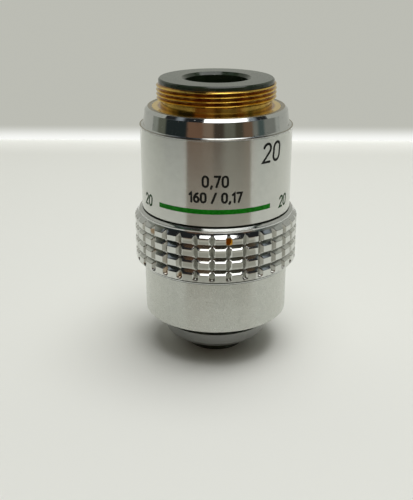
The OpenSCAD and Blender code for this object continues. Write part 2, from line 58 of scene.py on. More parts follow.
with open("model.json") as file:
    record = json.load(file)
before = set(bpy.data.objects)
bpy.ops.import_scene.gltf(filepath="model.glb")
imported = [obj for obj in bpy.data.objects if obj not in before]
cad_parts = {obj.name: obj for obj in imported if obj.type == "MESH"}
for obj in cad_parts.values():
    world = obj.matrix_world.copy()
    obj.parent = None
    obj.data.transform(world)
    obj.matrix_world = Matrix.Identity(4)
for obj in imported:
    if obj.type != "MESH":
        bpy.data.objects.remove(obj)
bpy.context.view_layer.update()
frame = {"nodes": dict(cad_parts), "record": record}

MM = 0.001
TURN = 2 * math.pi
# Direction of the front, seen from above
FRONT = -math.pi / 2


# Places taken from the frame

def low(node):
    """Height of a CAD node's lower end."""
    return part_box(node)[0].z


def high(node):
    """Height of a CAD node's upper end."""
    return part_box(node)[1].z


def radius(node):
    """Outer radius of a turned CAD node."""
    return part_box(node)[1].x


# Sizes and colours that a user may change

def length(name, about, mm):
    """A size, stated in millimetres."""
    return FloatProperty(name=name, description=about, default=mm * MM, unit="LENGTH", precision=5)


def angle(name, about, degrees):
    """An angle, stated in degrees."""
    return FloatProperty(name=name, description=about, default=math.radians(degrees), unit="ROTATION")


def share(name, about, default):
    """A plain number."""
    return FloatProperty(name=name, description=about, default=default)


def colour(name, about, rgb):
    """A linear colour."""
    return FloatVectorProperty(name=name, description=about, default=rgb, size=3, subtype="COLOR")


class ObjectiveThread(bpy.types.PropertyGroup):
    """Sizes of the rear thread, its neck and the stop."""
    pitch: length("Pitch", "Distance from crest to crest, 36 to the inch", 0.7056)
    depth: length("Depth", "Depth of the thread below its crests", 0.43)
    chamfer: length("Chamfer", "Chamfer at both ends of the thread", 0.16)
    neck_r: length("Neck radius", "Radius of the neck below the thread", 9.43)
    neck_depth: length("Neck depth", "Depth of the neck below the crests", 0.69)
    neck_height: length("Neck height", "Height of the neck", 1.25)
    shoulder_drop: length("Shoulder drop", "From the top of the thread down to the shoulder", 3.85)
    flange_inset: length("Flange inset", "From the guide tube in to the flange", 0.48)
    rear_bore: length("Rear bore", "Radius of the bore behind the spring", 8.2)
    guide_bore: length("Guide bore", "Radius of the bore that guides the barrel", 10)
    ledge_drop: length("Ledge drop", "From the shoulder down to the spring's seat", 4.7)
    crest_lead: angle("Crest lead", "Turn of the thread's first crest", 150)
    stop_hole: length("Stop hole", "Radius of the hole in the stop", 5.34)
    stop_height: length("Stop height", "Height of the stop's disc", 0.77)
    stop_sink: length("Countersink", "Width of the countersink at the hole", 0.5)
    stop_bevel: length("Stop bevel", "Bevel on the stop's rim", 0.22)


class ObjectiveHousing(bpy.types.PropertyGroup):
    """Sizes of the collar, the upper sleeve and its stripe."""
    collar_lip: length("Lip", "Height of the lip's upright edge", 0.15)
    collar_flare_w: length("Flare width", "Width of the hollow flare above the lip", 0.62)
    collar_flare_h: length("Flare height", "Height of the hollow flare above the lip", 0.23)
    collar_taper: length("Collar taper", "Taper of the collar's wall", 0.33)
    collar_bevel: length("Collar bevel", "Bevel on the collar's top", 0.5)
    sleeve_bevel: length("Sleeve bevel", "Bevel on the upper sleeve's ends", 0.08)
    stripe_left: angle("Stripe left", "Left end of the stripe, from the front", -46)
    stripe_right: angle("Stripe right", "Right end of the stripe, from the front", 43.3)
    enamel_rise: length("Enamel rise", "How far the enamel stands proud", 0.012)
    enamel_depth: length("Enamel depth", "How deep the enamel sits in the sleeve", 0.09)


class ObjectiveNumerals(bpy.types.PropertyGroup):
    """Sizes and places of the plain numerals on the upper sleeve."""
    large_height: length("Large height", "Height of the large numerals", 3.38)
    aperture_height: length("Aperture height", "Height of the aperture's numerals", 2.05)
    tube_height: length("Tube height", "Height of the tube length's numerals", 1.87)
    side_height: length("Side height", "Height of the numerals beside the stripe", 2.15)
    stroke: length("Stroke", "Width of the engraver's stroke", 0.36)
    fine_stroke: length("Fine stroke", "Width of the stroke of the side numerals", 0.38)
    print_rise: length("Print rise", "How far the paint stands proud", 0.006)
    print_depth: length("Print depth", "How deep the paint sits in the sleeve", 0.05)


class ObjectiveGrip(bpy.types.PropertyGroup):
    """Sizes of the grip ring and the sleeve below it."""
    flutes: IntProperty(name="Flutes", description="Number of upright grooves", default=32)
    flute_turn: angle("Flute turn", "Turn of the first upright groove from the front", -2.5)
    flute_w: length("Flute width", "Width of an upright groove", 1.1)
    flute_depth: length("Flute depth", "Depth of an upright groove", 0.57)
    flute_land: length("Flute land", "Land left below the upright grooves", 0.12)
    runout: share("Run-out", "Share of a flute's width that its round foot takes", 0.97)
    foot_steepness: share("Foot steepness", "How much steeper the flute's end is than its sides", 2.2)
    grooves: IntProperty(name="Grooves", description="Number of grooves round the ring", default=3)
    groove_w: length("Groove width", "Width of a groove round the ring", 1.1)
    groove_depth: length("Groove depth", "Depth of a groove round the ring", 0.61)
    first_pad: length("First pad", "Height of the top row of pads", 0.9)
    pad: length("Pad", "Height of a middle row of pads", 1.1)
    last_pad: length("Last pad", "Height of the lowest row of pads", 1.2)
    chamfer_w: length("Chamfer width", "Width of the chamfer above the pads", 0.78)
    chamfer_h: length("Chamfer height", "Height of the chamfer above the pads", 0.83)
    edge_h: length("Edge height", "Height of the polished edge", 0.3)
    bevel_w: length("Bevel width", "Width of the polished bevel", 0.52)
    bevel_h: length("Bevel height", "Height of the polished bevel", 0.29)
    # The seam's faces are painted black, as the shadow in the gap under the upper sleeve.
    seam_depth: length("Seam depth", "Depth of the dark seam", 0.4)
    seam_h: length("Seam height", "Height of the dark seam", 0.25)
    foot_inset: length("Foot inset", "From the pads in to the foot", 0.55)
    foot_h: length("Foot height", "Height of the foot", 0.75)
    # The foot's strip under the pads and its bevel are painted black, as shadow lines under the overhangs.
    foot_shadow_line: length("Foot dirt", "Height of the dirt line under the pads", 0.42)
    foot_bevel: length("Foot bevel", "Bevel on the foot's lower edge", 0.15)
    lower_r: length("Sleeve radius", "Radius of the sleeve below the foot", 12.82)
    lip_bore: length("Lip bore", "Radius of the lip's bore", 9.77)
    lip_t: length("Lip thickness", "Thickness of the lip", 1.2)
    lower_bevel: length("Sleeve bevel", "Bevel on the sleeve's front edge", 0.15)
    softness: length("Softness", "How far an edge between two cuts is rounded", 0.045)


class ObjectiveNose(bpy.types.PropertyGroup):
    """Sizes of the nose cap, the front cell and the spring."""
    waist_r: length("Waist radius", "Radius at the top of the nose's bevel", 9.2)
    front_r: length("Front radius", "Radius of the nose cap's front face", 7.95)
    bevel_h: length("Bevel height", "Height of the bevel at the nose's front", 1.02)
    front_bore: length("Front bore", "Radius of the bore that holds the front cell", 5.6)
    joint_r: length("Joint radius", "Radius of the joint between cap and barrel", 8.2)
    front_wall: length("Front wall", "Thickness of the cap's front wall", 1.3)
    rim_r: length("Rim radius", "Radius of the flat front rim", 5.2)
    window_r: length("Window radius", "Radius of the window in front of the first lens", 1.9)
    rim_t: length("Rim thickness", "Thickness of the rim that holds the first lens", 0.4)
    cell_wall: length("Cell wall", "Width of the front cell's rear face", 0.6)
    lens_rise: length("Lens rise", "Rise of the front lens above its seat's edge", 1.35)
    wire_r: length("Wire radius", "Radius of the spring's wire", 0.35)
    coil_turns: share("Coils", "Number of coils of the spring", 4.5)
    travel: length("Travel", "How far the nose slides back", 1.8)


class ObjectiveFinish(bpy.types.PropertyGroup):
    """Colours of the finishes, with a painted reflection and painted shade among them."""
    brass: colour("Brass", "Lacquered brass", (0.78, 0.53, 0.11))
    patina: colour("Patina", "Brass that has darkened in the grooves", (0.20, 0.045, 0.006))
    chrome: colour("Chrome", "Polished chrome", (0.57, 0.58, 0.57))
    satin: colour("Satin chrome", "Satin chrome of the sleeves", (0.62, 0.63, 0.595))
    lower: colour("Lower sleeve", "Satin chrome of the lower sleeve", (0.59, 0.60, 0.56))
    grip: colour("Grip chrome", "Chrome of the pads", (0.64, 0.65, 0.62))
    nose: colour("Nose chrome", "Darker chrome of the nose", (0.37, 0.375, 0.36))
    # Tan colour of the collar's flat top: a painted reflection of the brass thread and flange above it.
    painted_brass_reflection: colour("Worn face", "Face of the collar where it is worn and stained", (0.40, 0.355, 0.27))
    black: colour("Black", "Black anodised stop", (0.012, 0.019, 0.010))
    enamel: colour("Green enamel", "Stripe and side numerals", (0.001, 0.15, 0.001))
    ink: colour("Black paint", "Paint in the numerals", (0.006, 0.007, 0.006))
    # Dark tone for the darkening deep in the grooves and for the painted shade on the flutes' feet.
    groove_darkening: colour("Grime", "Dirt in the grooves", (0.05, 0.035, 0.018))
    amber: colour("Amber", "Old oil in the flutes", (0.46, 0.22, 0.015))
    steel: colour("Steel", "Spring and screw", (0.42, 0.42, 0.41))
    glass: colour("Glass", "Coated glass", (0.80, 0.95, 0.90))


class ObjectiveStage(bpy.types.PropertyGroup):
    """Camera, floor, backdrop and lamps."""
    camera_back: length("Camera back", "Distance of the camera in front of the axis", 127.9)
    camera_height: length("Camera height", "Height of the camera above the front rim", 69.28)
    camera_pitch: angle("Camera pitch", "How far the camera looks down", 21.98)
    camera_roll: angle("Camera roll", "Roll of the camera", 0.2)
    focal: share("Focal length", "In pixels of the photograph's frame", 757)
    frame_long: share("Long side", "The photograph's long side, in pixels", 500)
    frame_short: share("Short side", "The photograph's short side, in pixels", 413)
    axis_x: share("Axis", "Pixel column of the camera's own axis", 215.8)
    wall_back: length("Wall", "Distance of the backdrop behind the axis", 156)
    wall_w: length("Wall width", "Width of the backdrop", 700)
    wall_h: length("Wall height", "Height of the backdrop", 420)
    floor_r: length("Floor", "Radius of the floor", 225)
    # A painted highlight along the border of floor and backdrop, where a lit cove would shine.
    painted_cove_highlight_h: length("Band height", "Height of the bright band at the backdrop's foot", 6)
    painted_cove_highlight_w: length("Band width", "Width of the bright band on the floor before the backdrop", 24)
    card_near: length("Card's near edge", "Where the card on the floor begins", 42)
    card_grey: length("Card's grey edge", "Where the card has turned grey", 58)
    card_mid: length("Card's middle", "Where the card begins to turn brown", 92)
    card_far: length("Card's far edge", "Where the card has turned brown", 140)
    card_left: angle("Card's left edge", "Left edge of the card, from the front", -42.5)
    card_right: angle("Card's right edge", "Right edge of the card, from the front", 50.5)
    pale_near: length("Pale from", "Where the card begins to turn pale", 72)
    pale_far: length("Pale at", "Where the card is palest", 84)
    card_turn: angle("Card's turn", "Where the card turns from brown to grey, from the front", 9)
    turn_blur: share("Turn's blur", "Half of the angle over which it turns, in radians", 0.12)
    room_level: share("Room level", "Strength of the room's light", 0.72)
    floor: colour("Floor", "Colour of the floor", (0.80, 0.81, 0.775))
    painted_cove_highlight: colour("Band", "Colour of the band at the backdrop's foot", (0.95, 0.96, 0.93))
    wall: colour("Backdrop", "Colour of the backdrop", (0.50, 0.505, 0.455))
    card_tone: colour("Card grey", "Colour of the card's near part", (0.42, 0.415, 0.37))
    card_pale: colour("Card pale", "Colour of the card where it is palest", (0.58, 0.57, 0.51))
    card: colour("Card brown", "Colour of the card's far part", (0.11, 0.055, 0.032))


# Places, outlines and shells

def polar(r, around, z):
    """The point at a radius, angle and height."""
    return r * math.cos(around), r * math.sin(around), z


def off_axis(point):
    """Distance of a point from the optical axis."""
    return math.hypot(point.x, point.y)


def whole(bm):
    """All of a bmesh's geometry."""
    return bm.verts[:] + bm.edges[:] + bm.faces[:]


def placed(name, data):
    """A new object of the scene with the given data."""
    obj = bpy.data.objects.new(name, data)
    bpy.context.scene.collection.objects.link(obj)
    return obj


def meshed(name, bm, *materials):
    """The bmesh as a new object of the scene."""
    mesh = bpy.data.meshes.new(name)
    bm.to_mesh(mesh)
    bm.free()
    for material in materials:
        mesh.materials.append(material)
    return placed(name, mesh)


def rounded(corners, soft, steps=3, keep=()):
    """The closed outline with each corner rounded but those to keep, held by a point on both sides."""
    points = []
    for i, corner in enumerate(corners):
        if i in keep:
            points.append(Vector(corner))
            continue
        corner = Vector(corner)
        back = Vector(corners[i - 1]) - corner
        ahead = Vector(corners[(i + 1) % len(corners)]) - corner
        reach = min(soft, 0.25 * back.length, 0.25 * ahead.length)
        start, end = corner + back.normalized() * reach, corner + ahead.normalized() * reach
        points.append(start + back.normalized() * reach * 0.6)
        for k in range(steps + 1):
            t = k / steps
            points.append(start * (1 - t) ** 2 + corner * 2 * t * (1 - t) + end * t * t)
        points.append(end + ahead.normalized() * reach * 0.6)
    return points


def spun(outline, steps=192, start=0.0, sweep=TURN):
    """A bmesh of the closed outline of (radius, height) points, spun round the axis."""
    bm = bmesh.new()
    first = [bm.verts.new(polar(r, start, z)) for r, z in outline]
    closed = sweep >= TURN
    if closed:
        ring = [bm.edges.new((v, first[(i + 1) % len(first)])) for i, v in enumerate(first)]
    else:
        ring = [bm.faces.new(first)]
    bmesh.ops.spin(bm, geom=first + ring, cent=(0, 0, 0), axis=(0, 0, 1), angle=sweep,
                   steps=steps, use_merge=closed, use_duplicate=False)
    bmesh.ops.remove_doubles(bm, verts=bm.verts, dist=1e-8)
    bmesh.ops.recalc_face_normals(bm, faces=bm.faces)
    return bm


def piece(name, bm, body, materials, slot, *nodes, sharp=50):
    """The bmesh as a finished piece on a body, in place of the CAD nodes."""
    for face in bm.faces:
        face.smooth = True
    for edge in bm.edges:
        if len(edge.link_faces) == 2 and edge.calc_face_angle(0) > math.radians(sharp):
            edge.smooth = False
    obj = meshed(name, bm, *materials)
    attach(obj, body)
    if nodes:
        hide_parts(*nodes)
    return obj


def soft_min(a, b, soft):
    """The smaller of two values, with the step between them rounded."""
    h = min(1.0, max(0.0, 0.5 + 0.5 * (b - a) / soft))
    return b * (1 - h) + a * h - soft * h * (1 - h)


def set_radius(vert, r):
    """Moves a vertex to the given distance from the axis."""
    flat = off_axis(vert.co)
    vert.co.x *= r / flat
    vert.co.y *= r / flat


# Node materials

def shade(tone, factor):
    """A colour made darker or brighter."""
    return [c * factor for c in tone]


class Graph:
    """A node tree, with short calls for the nodes used here."""

    def __init__(self, tree, space):
        self.tree = tree
        self.place = self.node("ShaderNodeTexCoord").outputs[space]

    def node(self, kind, inputs=(), **values):
        """A node with its properties and inputs set."""
        made = self.tree.nodes.new(kind)
        for name, value in values.items():
            setattr(made, name, value)
        for key, value in dict(inputs).items():
            self.feed(made.inputs[key], value)
        return made

    def feed(self, socket, value):
        """Links an input to an output, or sets it to a number, a vector or an opaque colour."""
        if hasattr(value, "is_linked"):
            self.tree.links.new(value, socket)
        elif isinstance(value, (int, float)) or socket.type == "VECTOR":
            socket.default_value = value
        else:
            socket.default_value = (*value, 1.0)

    def noise(self, scale, detail=3.0, rough=0.5):
        """Noise; scale is the number of features per millimetre, for all axes or each."""
        per_metre = [s / MM for s in (scale if isinstance(scale, tuple) else (scale,) * 3)]
        spread = self.node("ShaderNodeMapping", {"Vector": self.place, "Scale": per_metre}).outputs[0]
        inputs = {"Vector": spread, "Scale": 1.0, "Detail": detail, "Roughness": rough}
        return self.node("ShaderNodeTexNoise", inputs).outputs["Fac"]

    def ranged(self, value, from_min, from_max, to_min=0.0, to_max=1.0, smooth=False):
        """The value mapped from one range to another, and held at its ends."""
        inputs = {"Value": value, "From Min": from_min, "From Max": from_max, "To Min": to_min,
                  "To Max": to_max}
        kind = "SMOOTHSTEP" if smooth else "LINEAR"
        return self.node("ShaderNodeMapRange", inputs, interpolation_type=kind).outputs["Result"]

    def maths(self, operation, a, b=0.0):
        return self.node("ShaderNodeMath", {0: a, 1: b}, operation=operation).outputs["Value"]

    def mixed(self, factor, a, b):
        """Colour a where the factor is 0, colour b where it is 1."""
        return self.node("ShaderNodeMix", {0: factor, 6: a, 7: b}, data_type="RGBA").outputs[2]

    def ramp(self, value, stops, **values):
        """The colour at a value between 0 and 1, from rising (value, colour) stops."""
        made = self.node("ShaderNodeValToRGB", {"Fac": value})
        made.color_ramp.elements.remove(made.color_ramp.elements[1])
        for name, chosen in values.items():
            setattr(made.color_ramp, name, chosen)
        for i, (at, tone) in enumerate(stops):
            stop = made.color_ramp.elements.new(at) if i else made.color_ramp.elements[0]
            stop.position, stop.color = at, (*tone, 1.0)
        return made.outputs["Color"]

    def show(self, factor, a, b, output):
        """Shows shader a where the factor is 0, shader b where it is 1."""
        mix = self.node("ShaderNodeMixShader", {0: factor, 1: a, 2: b})
        self.feed(self.tree.nodes[output].inputs["Surface"], mix.outputs[0])

    def axes(self):
        split = self.node("ShaderNodeSeparateXYZ", {0: self.place})
        return split.outputs["X"], split.outputs["Y"], split.outputs["Z"]

    def azimuth(self):
        """Angle round the axis from the front, in radians; it grows to the right."""
        x, y, _ = self.axes()
        return self.maths("ARCTAN2", x, self.maths("MULTIPLY", y, -1))

    def off_axis(self):
        """Distance from the optical axis."""
        x, y, _ = self.axes()
        squares = self.maths("MULTIPLY", x, x), self.maths("MULTIPLY", y, y)
        return self.maths("SQRT", self.maths("ADD", *squares))

    def spot(self, place, reach):
        """One at the place, and nothing beyond the reach."""
        away = self.node("ShaderNodeVectorMath", {0: self.place, 1: place}, operation="DISTANCE")
        return self.ranged(away.outputs["Value"], reach * 0.55, reach, 1.0, 0.0, smooth=True)


class Material(Graph):
    """A material's node tree round its one shader."""

    def __init__(self, name):
        self.material = bpy.data.materials.new(name)
        self.material.use_nodes = True
        super().__init__(self.material.node_tree, "Object")
        self.shader = self.tree.nodes["Principled BSDF"]

    def set(self, **values):
        """Sets or links the shader's inputs; underscores stand for spaces."""
        for name, value in values.items():
            self.feed(self.shader.inputs[name.replace("_", " ")], value)

    def bump(self, height, strength, depth):
        """Bump from a height between 0 and 1, which is the given depth."""
        made = self.node("ShaderNodeBump", {"Height": height, "Strength": strength, "Distance": depth})
        self.set(Normal=made.outputs["Normal"])


def polished_chrome(finish, name="polished_chrome"):
    """Bright chrome with fine scratches and a few dull specks."""
    g = Material(name)
    base = finish.chrome
    haze = g.noise(0.5, 4.0)
    specks = g.ranged(g.noise(2.4, 2.0), 0.67, 0.73)
    tone = g.mixed(g.ranged(haze, 0.35, 0.7, 0.0, 0.35), base, shade(base, 0.82))
    rough = g.maths("ADD", g.ranged(haze, 0.3, 0.7, 0.04, 0.10), g.maths("MULTIPLY", specks, 0.3))
    g.set(Base_Color=g.mixed(specks, tone, shade(base, 0.45)), Metallic=1.0, Roughness=rough)
    g.bump(g.noise((0.3, 0.3, 9.0), 2.0), 0.12, 0.004 * MM)
    return g.material


def satin_chrome(finish, name="satin_chrome", tone=None, rough=0.27):
    """Satin chrome: fine turned lines round the axis and a soft mottle."""
    g = Material(name)
    base = tone or finish.satin
    mottle = g.noise(0.8, 5.0, 0.6)
    lines = g.noise((0.02, 0.02, 14.0), 3.0)
    grain = g.noise(9.0, 2.0)
    tint = g.mixed(g.ranged(mottle, 0.35, 0.68), base, shade(base, 0.975))
    uneven = g.maths("ADD", g.ranged(grain, 0.3, 0.7, -0.03, 0.04),
                     g.ranged(mottle, 0.3, 0.7, rough - 0.015, rough + 0.02))
    g.set(Base_Color=g.mixed(g.ranged(lines, 0.3, 0.7, 0.0, 0.35), tint, shade(base, 0.8)),
          Metallic=1.0, Roughness=uneven, Anisotropic=0.85, Anisotropic_Rotation=0.25)
    # The grain lies round the axis, as a lathe leaves it
    g.set(Tangent=g.node("ShaderNodeTangent", direction_type="RADIAL", axis="Z").outputs["Tangent"])
    g.bump(lines, 0.10, 0.006 * MM)
    return g.material


def lacquered_brass(finish, crest_r, root_r):
    """Lacquered brass that has darkened to red brown deep in the thread, and less on the neck."""
    g = Material("lacquered_brass")
    away = g.off_axis()
    deep = g.ranged(away, root_r, crest_r - 0.04 * MM, 1.0, 0.0)
    neck = g.ranged(away, root_r - 0.2 * MM, root_r - 0.05 * MM, 0.42, 1.0)
    mottle = g.noise(0.7, 4.0)
    patchy = g.ranged(mottle, 0.25, 0.6, 0.65)
    tarnish = g.maths("MULTIPLY", g.maths("MULTIPLY", deep, neck), patchy)
    tint = g.mixed(g.ranged(mottle, 0.4, 0.7, 0.0, 0.5), finish.brass, shade(finish.brass, 0.78))
    g.set(Base_Color=g.mixed(tarnish, tint, finish.patina), Metallic=1.0,
          Roughness=g.ranged(g.noise(2.5, 3.0), 0.3, 0.7, 0.09, 0.17))
    g.bump(g.noise((0.3, 0.3, 12.0), 2.0), 0.12, 0.006 * MM)
    return g.material


def black_anodised(finish, name="black_anodised", rough=0.15):
    """Black anodised metal with a fine grain and a little pale dust."""
    g = Material(name)
    dust = g.ranged(g.noise(1.8, 3.0), 0.66, 0.74, 0.0, 0.22)
    tone = g.mixed(g.ranged(g.noise(0.5), 0.35, 0.7), finish.black, shade(finish.black, 1.7))
    g.set(Base_Color=g.mixed(dust, tone, (0.30, 0.31, 0.29)), Metallic=0.0, IOR=1.45,
          Roughness=g.ranged(g.noise(4.0, 3.0), 0.3, 0.7, rough - 0.06, rough + 0.08))
    g.bump(g.noise(5.0, 2.0), 0.10, 0.01 * MM)
    return g.material


def paint(name, tone, rough=0.32):
    """Engraver's paint with an uneven film."""
    g = Material(name)
    film = g.noise(2.2, 4.0)
    g.set(Base_Color=g.mixed(g.ranged(film, 0.35, 0.7), tone, shade(tone, 1.6)),
          Roughness=g.ranged(film, 0.3, 0.7, rough - 0.07, rough + 0.1), IOR=1.22)
    g.bump(film, 0.25, 0.01 * MM)
    return g.material


# Angle from the front in degrees, height and reach in millimetres and amount of each drop of old oil
OIL_DROPS = ((8.75, 24.75, 1.0, 1.0), (-47.5, 25.0, 0.9, 0.5), (-36.2, 20.3, 0.8, 0.15),
             (-36.2, 18.5, 0.8, 0.4), (-25, 18.3, 0.6, 0.4), (-47.5, 21.5, 0.6, 0.15),
             (-25, 23.9, 0.8, 0.12))


def grip_chrome(finish, sizes, bands):
    """The grip ring's chrome: darker deep in the grooves, painted shade on the flutes' round feet, and
    drops of old oil in some flutes.
    """
    g = Material("grip_chrome")
    pad_r, flute_depth = bands["pad_r"], sizes.flute_depth
    away = g.off_axis()
    mottle = g.noise(0.6, 4.0)
    # Darker towards the bottom of the flutes and grooves, in patches.
    deep = g.ranged(away, pad_r - flute_depth, pad_r - flute_depth * 0.3, 1.0, 0.0)
    groove_darkening = g.maths("MULTIPLY", deep, g.ranged(mottle, 0.38, 0.66, 0.15, 0.85))
    foot = bands["foot_top"] + sizes.flute_land
    # Painted shade on the flutes' round feet, which also dulls their highlights.
    foot_shade = g.ranged(g.axes()[2], foot, foot + sizes.flute_w * 0.26, 0.95, 0.0, smooth=True)
    inside = g.ranged(away, pad_r - 0.025 * MM, pad_r - 0.004 * MM, 1.0, 0.0)
    darkening = g.maths("MAXIMUM", g.maths("MULTIPLY", groove_darkening, 0.55), g.maths("MULTIPLY", foot_shade, inside))
    tone = g.mixed(g.ranged(mottle, 0.35, 0.7), finish.grip, shade(finish.grip, 0.93))
    drops = 0.0
    for degrees, height, reach, amount in OIL_DROPS:
        place = polar(pad_r - flute_depth * 0.6, FRONT + math.radians(degrees), height * MM)
        wet = g.maths("MULTIPLY", g.spot(place, reach * MM), inside)
        drops = g.maths("MAXIMUM", drops, g.maths("MULTIPLY", wet, amount))
    rough = g.maths("ADD", g.ranged(mottle, 0.3, 0.7, 0.06, 0.11), g.maths("MULTIPLY", darkening, 0.4))
    darkened_tone = g.mixed(darkening, tone, finish.groove_darkening)
    g.set(Base_Color=g.mixed(drops, darkened_tone, finish.amber), Metallic=1.0, Roughness=rough)
    g.bump(g.noise((0.6, 0.6, 8.0), 3.0), 0.06, 0.006 * MM)
    return g.material


def coated_glass(finish):
    """Clear glass with a faint coating."""
    g = Material("coated_glass")
    g.set(Base_Color=g.mixed(g.noise(0.4), finish.glass, shade(finish.glass, 0.97)), IOR=1.52,
          Roughness=g.ranged(g.noise(1.5, 3.0), 0.3, 0.7, 0.01, 0.04), Transmission_Weight=1.0,
          Coat_Weight=0.5)
    return g.material


def spring_steel(finish):
    """Drawn steel wire."""
    g = Material("spring_steel")
    g.set(Base_Color=g.mixed(g.noise(1.5, 3.0), finish.steel, shade(finish.steel, 0.7)),
          Metallic=1.0, Roughness=g.ranged(g.noise(3.0), 0.3, 0.7, 0.25, 0.4))
    return g.material


# The housing

# Room between two turned pieces, as in the CAD model
CLEARANCE = 0.02 * MM
# Steps round the axis of the shells whose outline shows most
ROUND = 256
# Lines of the mesh for each turn of the thread
THREAD_LINES = 14
# Below 1, this makes the thread's grooves wider than its crests
GROOVE_POWER = 0.7
# Steps of the collar's hollow flare
FLARE_STEPS = 7


class OBJECTIVE_OT_mount(bpy.types.Operator):
    """Brass mount with its helical rear thread, neck, flange and guide tube"""
    bl_idname = "objective.mount"
    bl_label = "Mount"

    def execute(self, context):
        t = context.scene.objective_thread
        neck_r, crest_r = t.neck_r, t.neck_r + t.neck_depth
        top = high("mount_body")
        shoulder = top - t.shoulder_drop
        neck_top = shoulder + t.neck_height
        tube_r = radius("mount_body")
        lines = round((top - neck_top) / t.pitch * THREAD_LINES)
        thread = [(crest_r, neck_top + (top - neck_top) * i / lines) for i in range(lines + 1)]
        bottom, collar_z = low("mount_body"), low("collar")
        flange_r = tube_r - t.flange_inset
        outer = rounded([(t.guide_bore, bottom), (tube_r, bottom), (tube_r, collar_z),
                         (flange_r, collar_z), (flange_r, shoulder), (neck_r, shoulder)], soft=0.06 * MM)
        ledge = shoulder - t.ledge_drop
        inner = [(t.rear_bore, top), (t.rear_bore, ledge), (t.guide_bore, ledge)]
        bm = spun([*outer, (neck_r, neck_top), *thread, *inner], ROUND)
        for vert in bm.verts:
            end_gap = min(top - vert.co.z, vert.co.z - neck_top)
            if off_axis(vert.co) > crest_r - 0.01 * MM and end_gap > -1e-7:
                around = math.atan2(vert.co.y, vert.co.x) - t.crest_lead
                phase = TURN * (vert.co.z - neck_top) / t.pitch - around
                groove = t.depth * (0.5 - 0.5 * math.cos(phase)) ** GROOVE_POWER
                bevelled = crest_r - max(0.0, t.chamfer - end_gap)
                set_radius(vert, soft_min(crest_r - groove, bevelled, 0.03 * MM))
        brass = lacquered_brass(context.scene.objective_finish, crest_r, crest_r - t.depth)
        piece("brass_mount", bm, "barrel", [brass], "brass", "mount_body", sharp=60)
        return {"FINISHED"}


class OBJECTIVE_OT_rear_stop(bpy.types.Operator):
    """Black stop in the rear end, with its countersunk hole"""
    bl_idname = "objective.rear_stop"
    bl_label = "Rear stop"

    def execute(self, context):
        t = context.scene.objective_thread
        top, bottom, rim = high("rear_stop"), low("rear_stop"), radius("rear_stop")
        seat, spigot_r = top - t.stop_height, t.rear_bore - CLEARANCE
        corners = [(t.stop_hole, bottom), (spigot_r, bottom), (spigot_r, seat),
                   (rim, seat), (rim, top - t.stop_bevel), (rim - t.stop_bevel, top),
                   (t.stop_hole + t.stop_sink, top), (t.stop_hole, top - t.stop_sink)]
        piece("black_rear_stop", spun(rounded(corners, soft=0.04 * MM)), "barrel",
              [black_anodised(context.scene.objective_finish)], "black_stop", "rear_stop")
        return {"FINISHED"}


class OBJECTIVE_OT_collar(bpy.types.Operator):
    """Polished collar with its bevel, flare and sharp lip"""
    bl_idname = "objective.collar"
    bl_label = "Collar"

    def execute(self, context):
        h = context.scene.objective_housing
        bottom, top, lip_r = low("collar"), high("collar"), radius("collar")
        inner_r = radius("mount_body") - context.scene.objective_thread.flange_inset + CLEARANCE
        top_r = lip_r - h.collar_flare_w - h.collar_taper
        lip_top = bottom + h.collar_lip
        quarter = [math.pi / 2 * k / FLARE_STEPS for k in range(FLARE_STEPS + 1)]
        flare = [(lip_r - h.collar_flare_w * math.sin(a), lip_top + h.collar_flare_h * (1 - math.cos(a)))
                 for a in quarter]
        corners = [(inner_r, bottom), (lip_r, bottom), *flare,
                   (top_r, top - h.collar_bevel), (top_r - h.collar_bevel, top), (inner_r, top)]
        bm = spun(rounded(corners, soft=0.035 * MM), ROUND)
        # The collar's flat top takes the tan colour, a painted reflection of the brass above it.
        for face in bm.faces:
            on_top = face.normal.z > 0.99 and face.calc_center_median().z > lip_top
            face.material_index = 1 if on_top else 0
        finish = context.scene.objective_finish
        metals = [polished_chrome(finish), satin_chrome(finish, "painted_reflection_face", finish.painted_brass_reflection, 0.4)]
        piece("chrome_collar", bm, "barrel", metals, "polished_chrome", "collar")
        return {"FINISHED"}


class OBJECTIVE_OT_upper_sleeve(bpy.types.Operator):
    """Satin sleeve that carries the stripe and the numerals"""
    bl_idname = "objective.upper_sleeve"
    bl_label = "Upper sleeve"

    def execute(self, context):
        h = context.scene.objective_housing
        bottom, top, outer_r = low("upper_sleeve"), high("upper_sleeve"), radius("upper_sleeve")
        bore_r, bevel = radius("mount_body") + CLEARANCE, h.sleeve_bevel
        corners = [(bore_r, bottom), (outer_r - bevel, bottom), (outer_r, bottom + bevel),
                   (outer_r, top - bevel), (outer_r - bevel, top), (bore_r, top)]
        piece("satin_upper_sleeve", spun(rounded(corners, soft=0.02 * MM), ROUND), "barrel",
              [satin_chrome(context.scene.objective_finish, rough=0.21)], "satin_chrome", "upper_sleeve")
        return {"FINISHED"}


class OBJECTIVE_OT_stripe(bpy.types.Operator):
    """Green enamel stripe, slightly crowned in its groove"""
    bl_idname = "objective.stripe"
    bl_label = "Stripe"

    def execute(self, context):
        h = context.scene.objective_housing
        bottom, top = low("color_stripe"), high("color_stripe")
        sleeve_r = radius("upper_sleeve")
        inner, outer = sleeve_r - h.enamel_depth, sleeve_r + h.enamel_rise
        outline = rounded([(inner, bottom), (outer, bottom), (outer, top), (inner, top)], soft=0.03 * MM)
        bm = spun(outline, 96, FRONT + h.stripe_left, h.stripe_right - h.stripe_left)
        enamel = paint("green_enamel", context.scene.objective_finish.enamel, 0.25)
        piece("green_stripe", bm, "barrel", [enamel], "green_enamel", "color_stripe")
        return {"FINISHED"}


# Numerals, drawn with an engraver's round stroke

def arc(cx, cy, rx, ry, start, end, steps=14):
    """Points on an ellipse, with angles in degrees from the right."""
    angles = (math.radians(start + (end - start) * i / steps) for i in range(steps + 1))
    return [(cx + rx * math.cos(a), cy + ry * math.sin(a)) for a in angles]


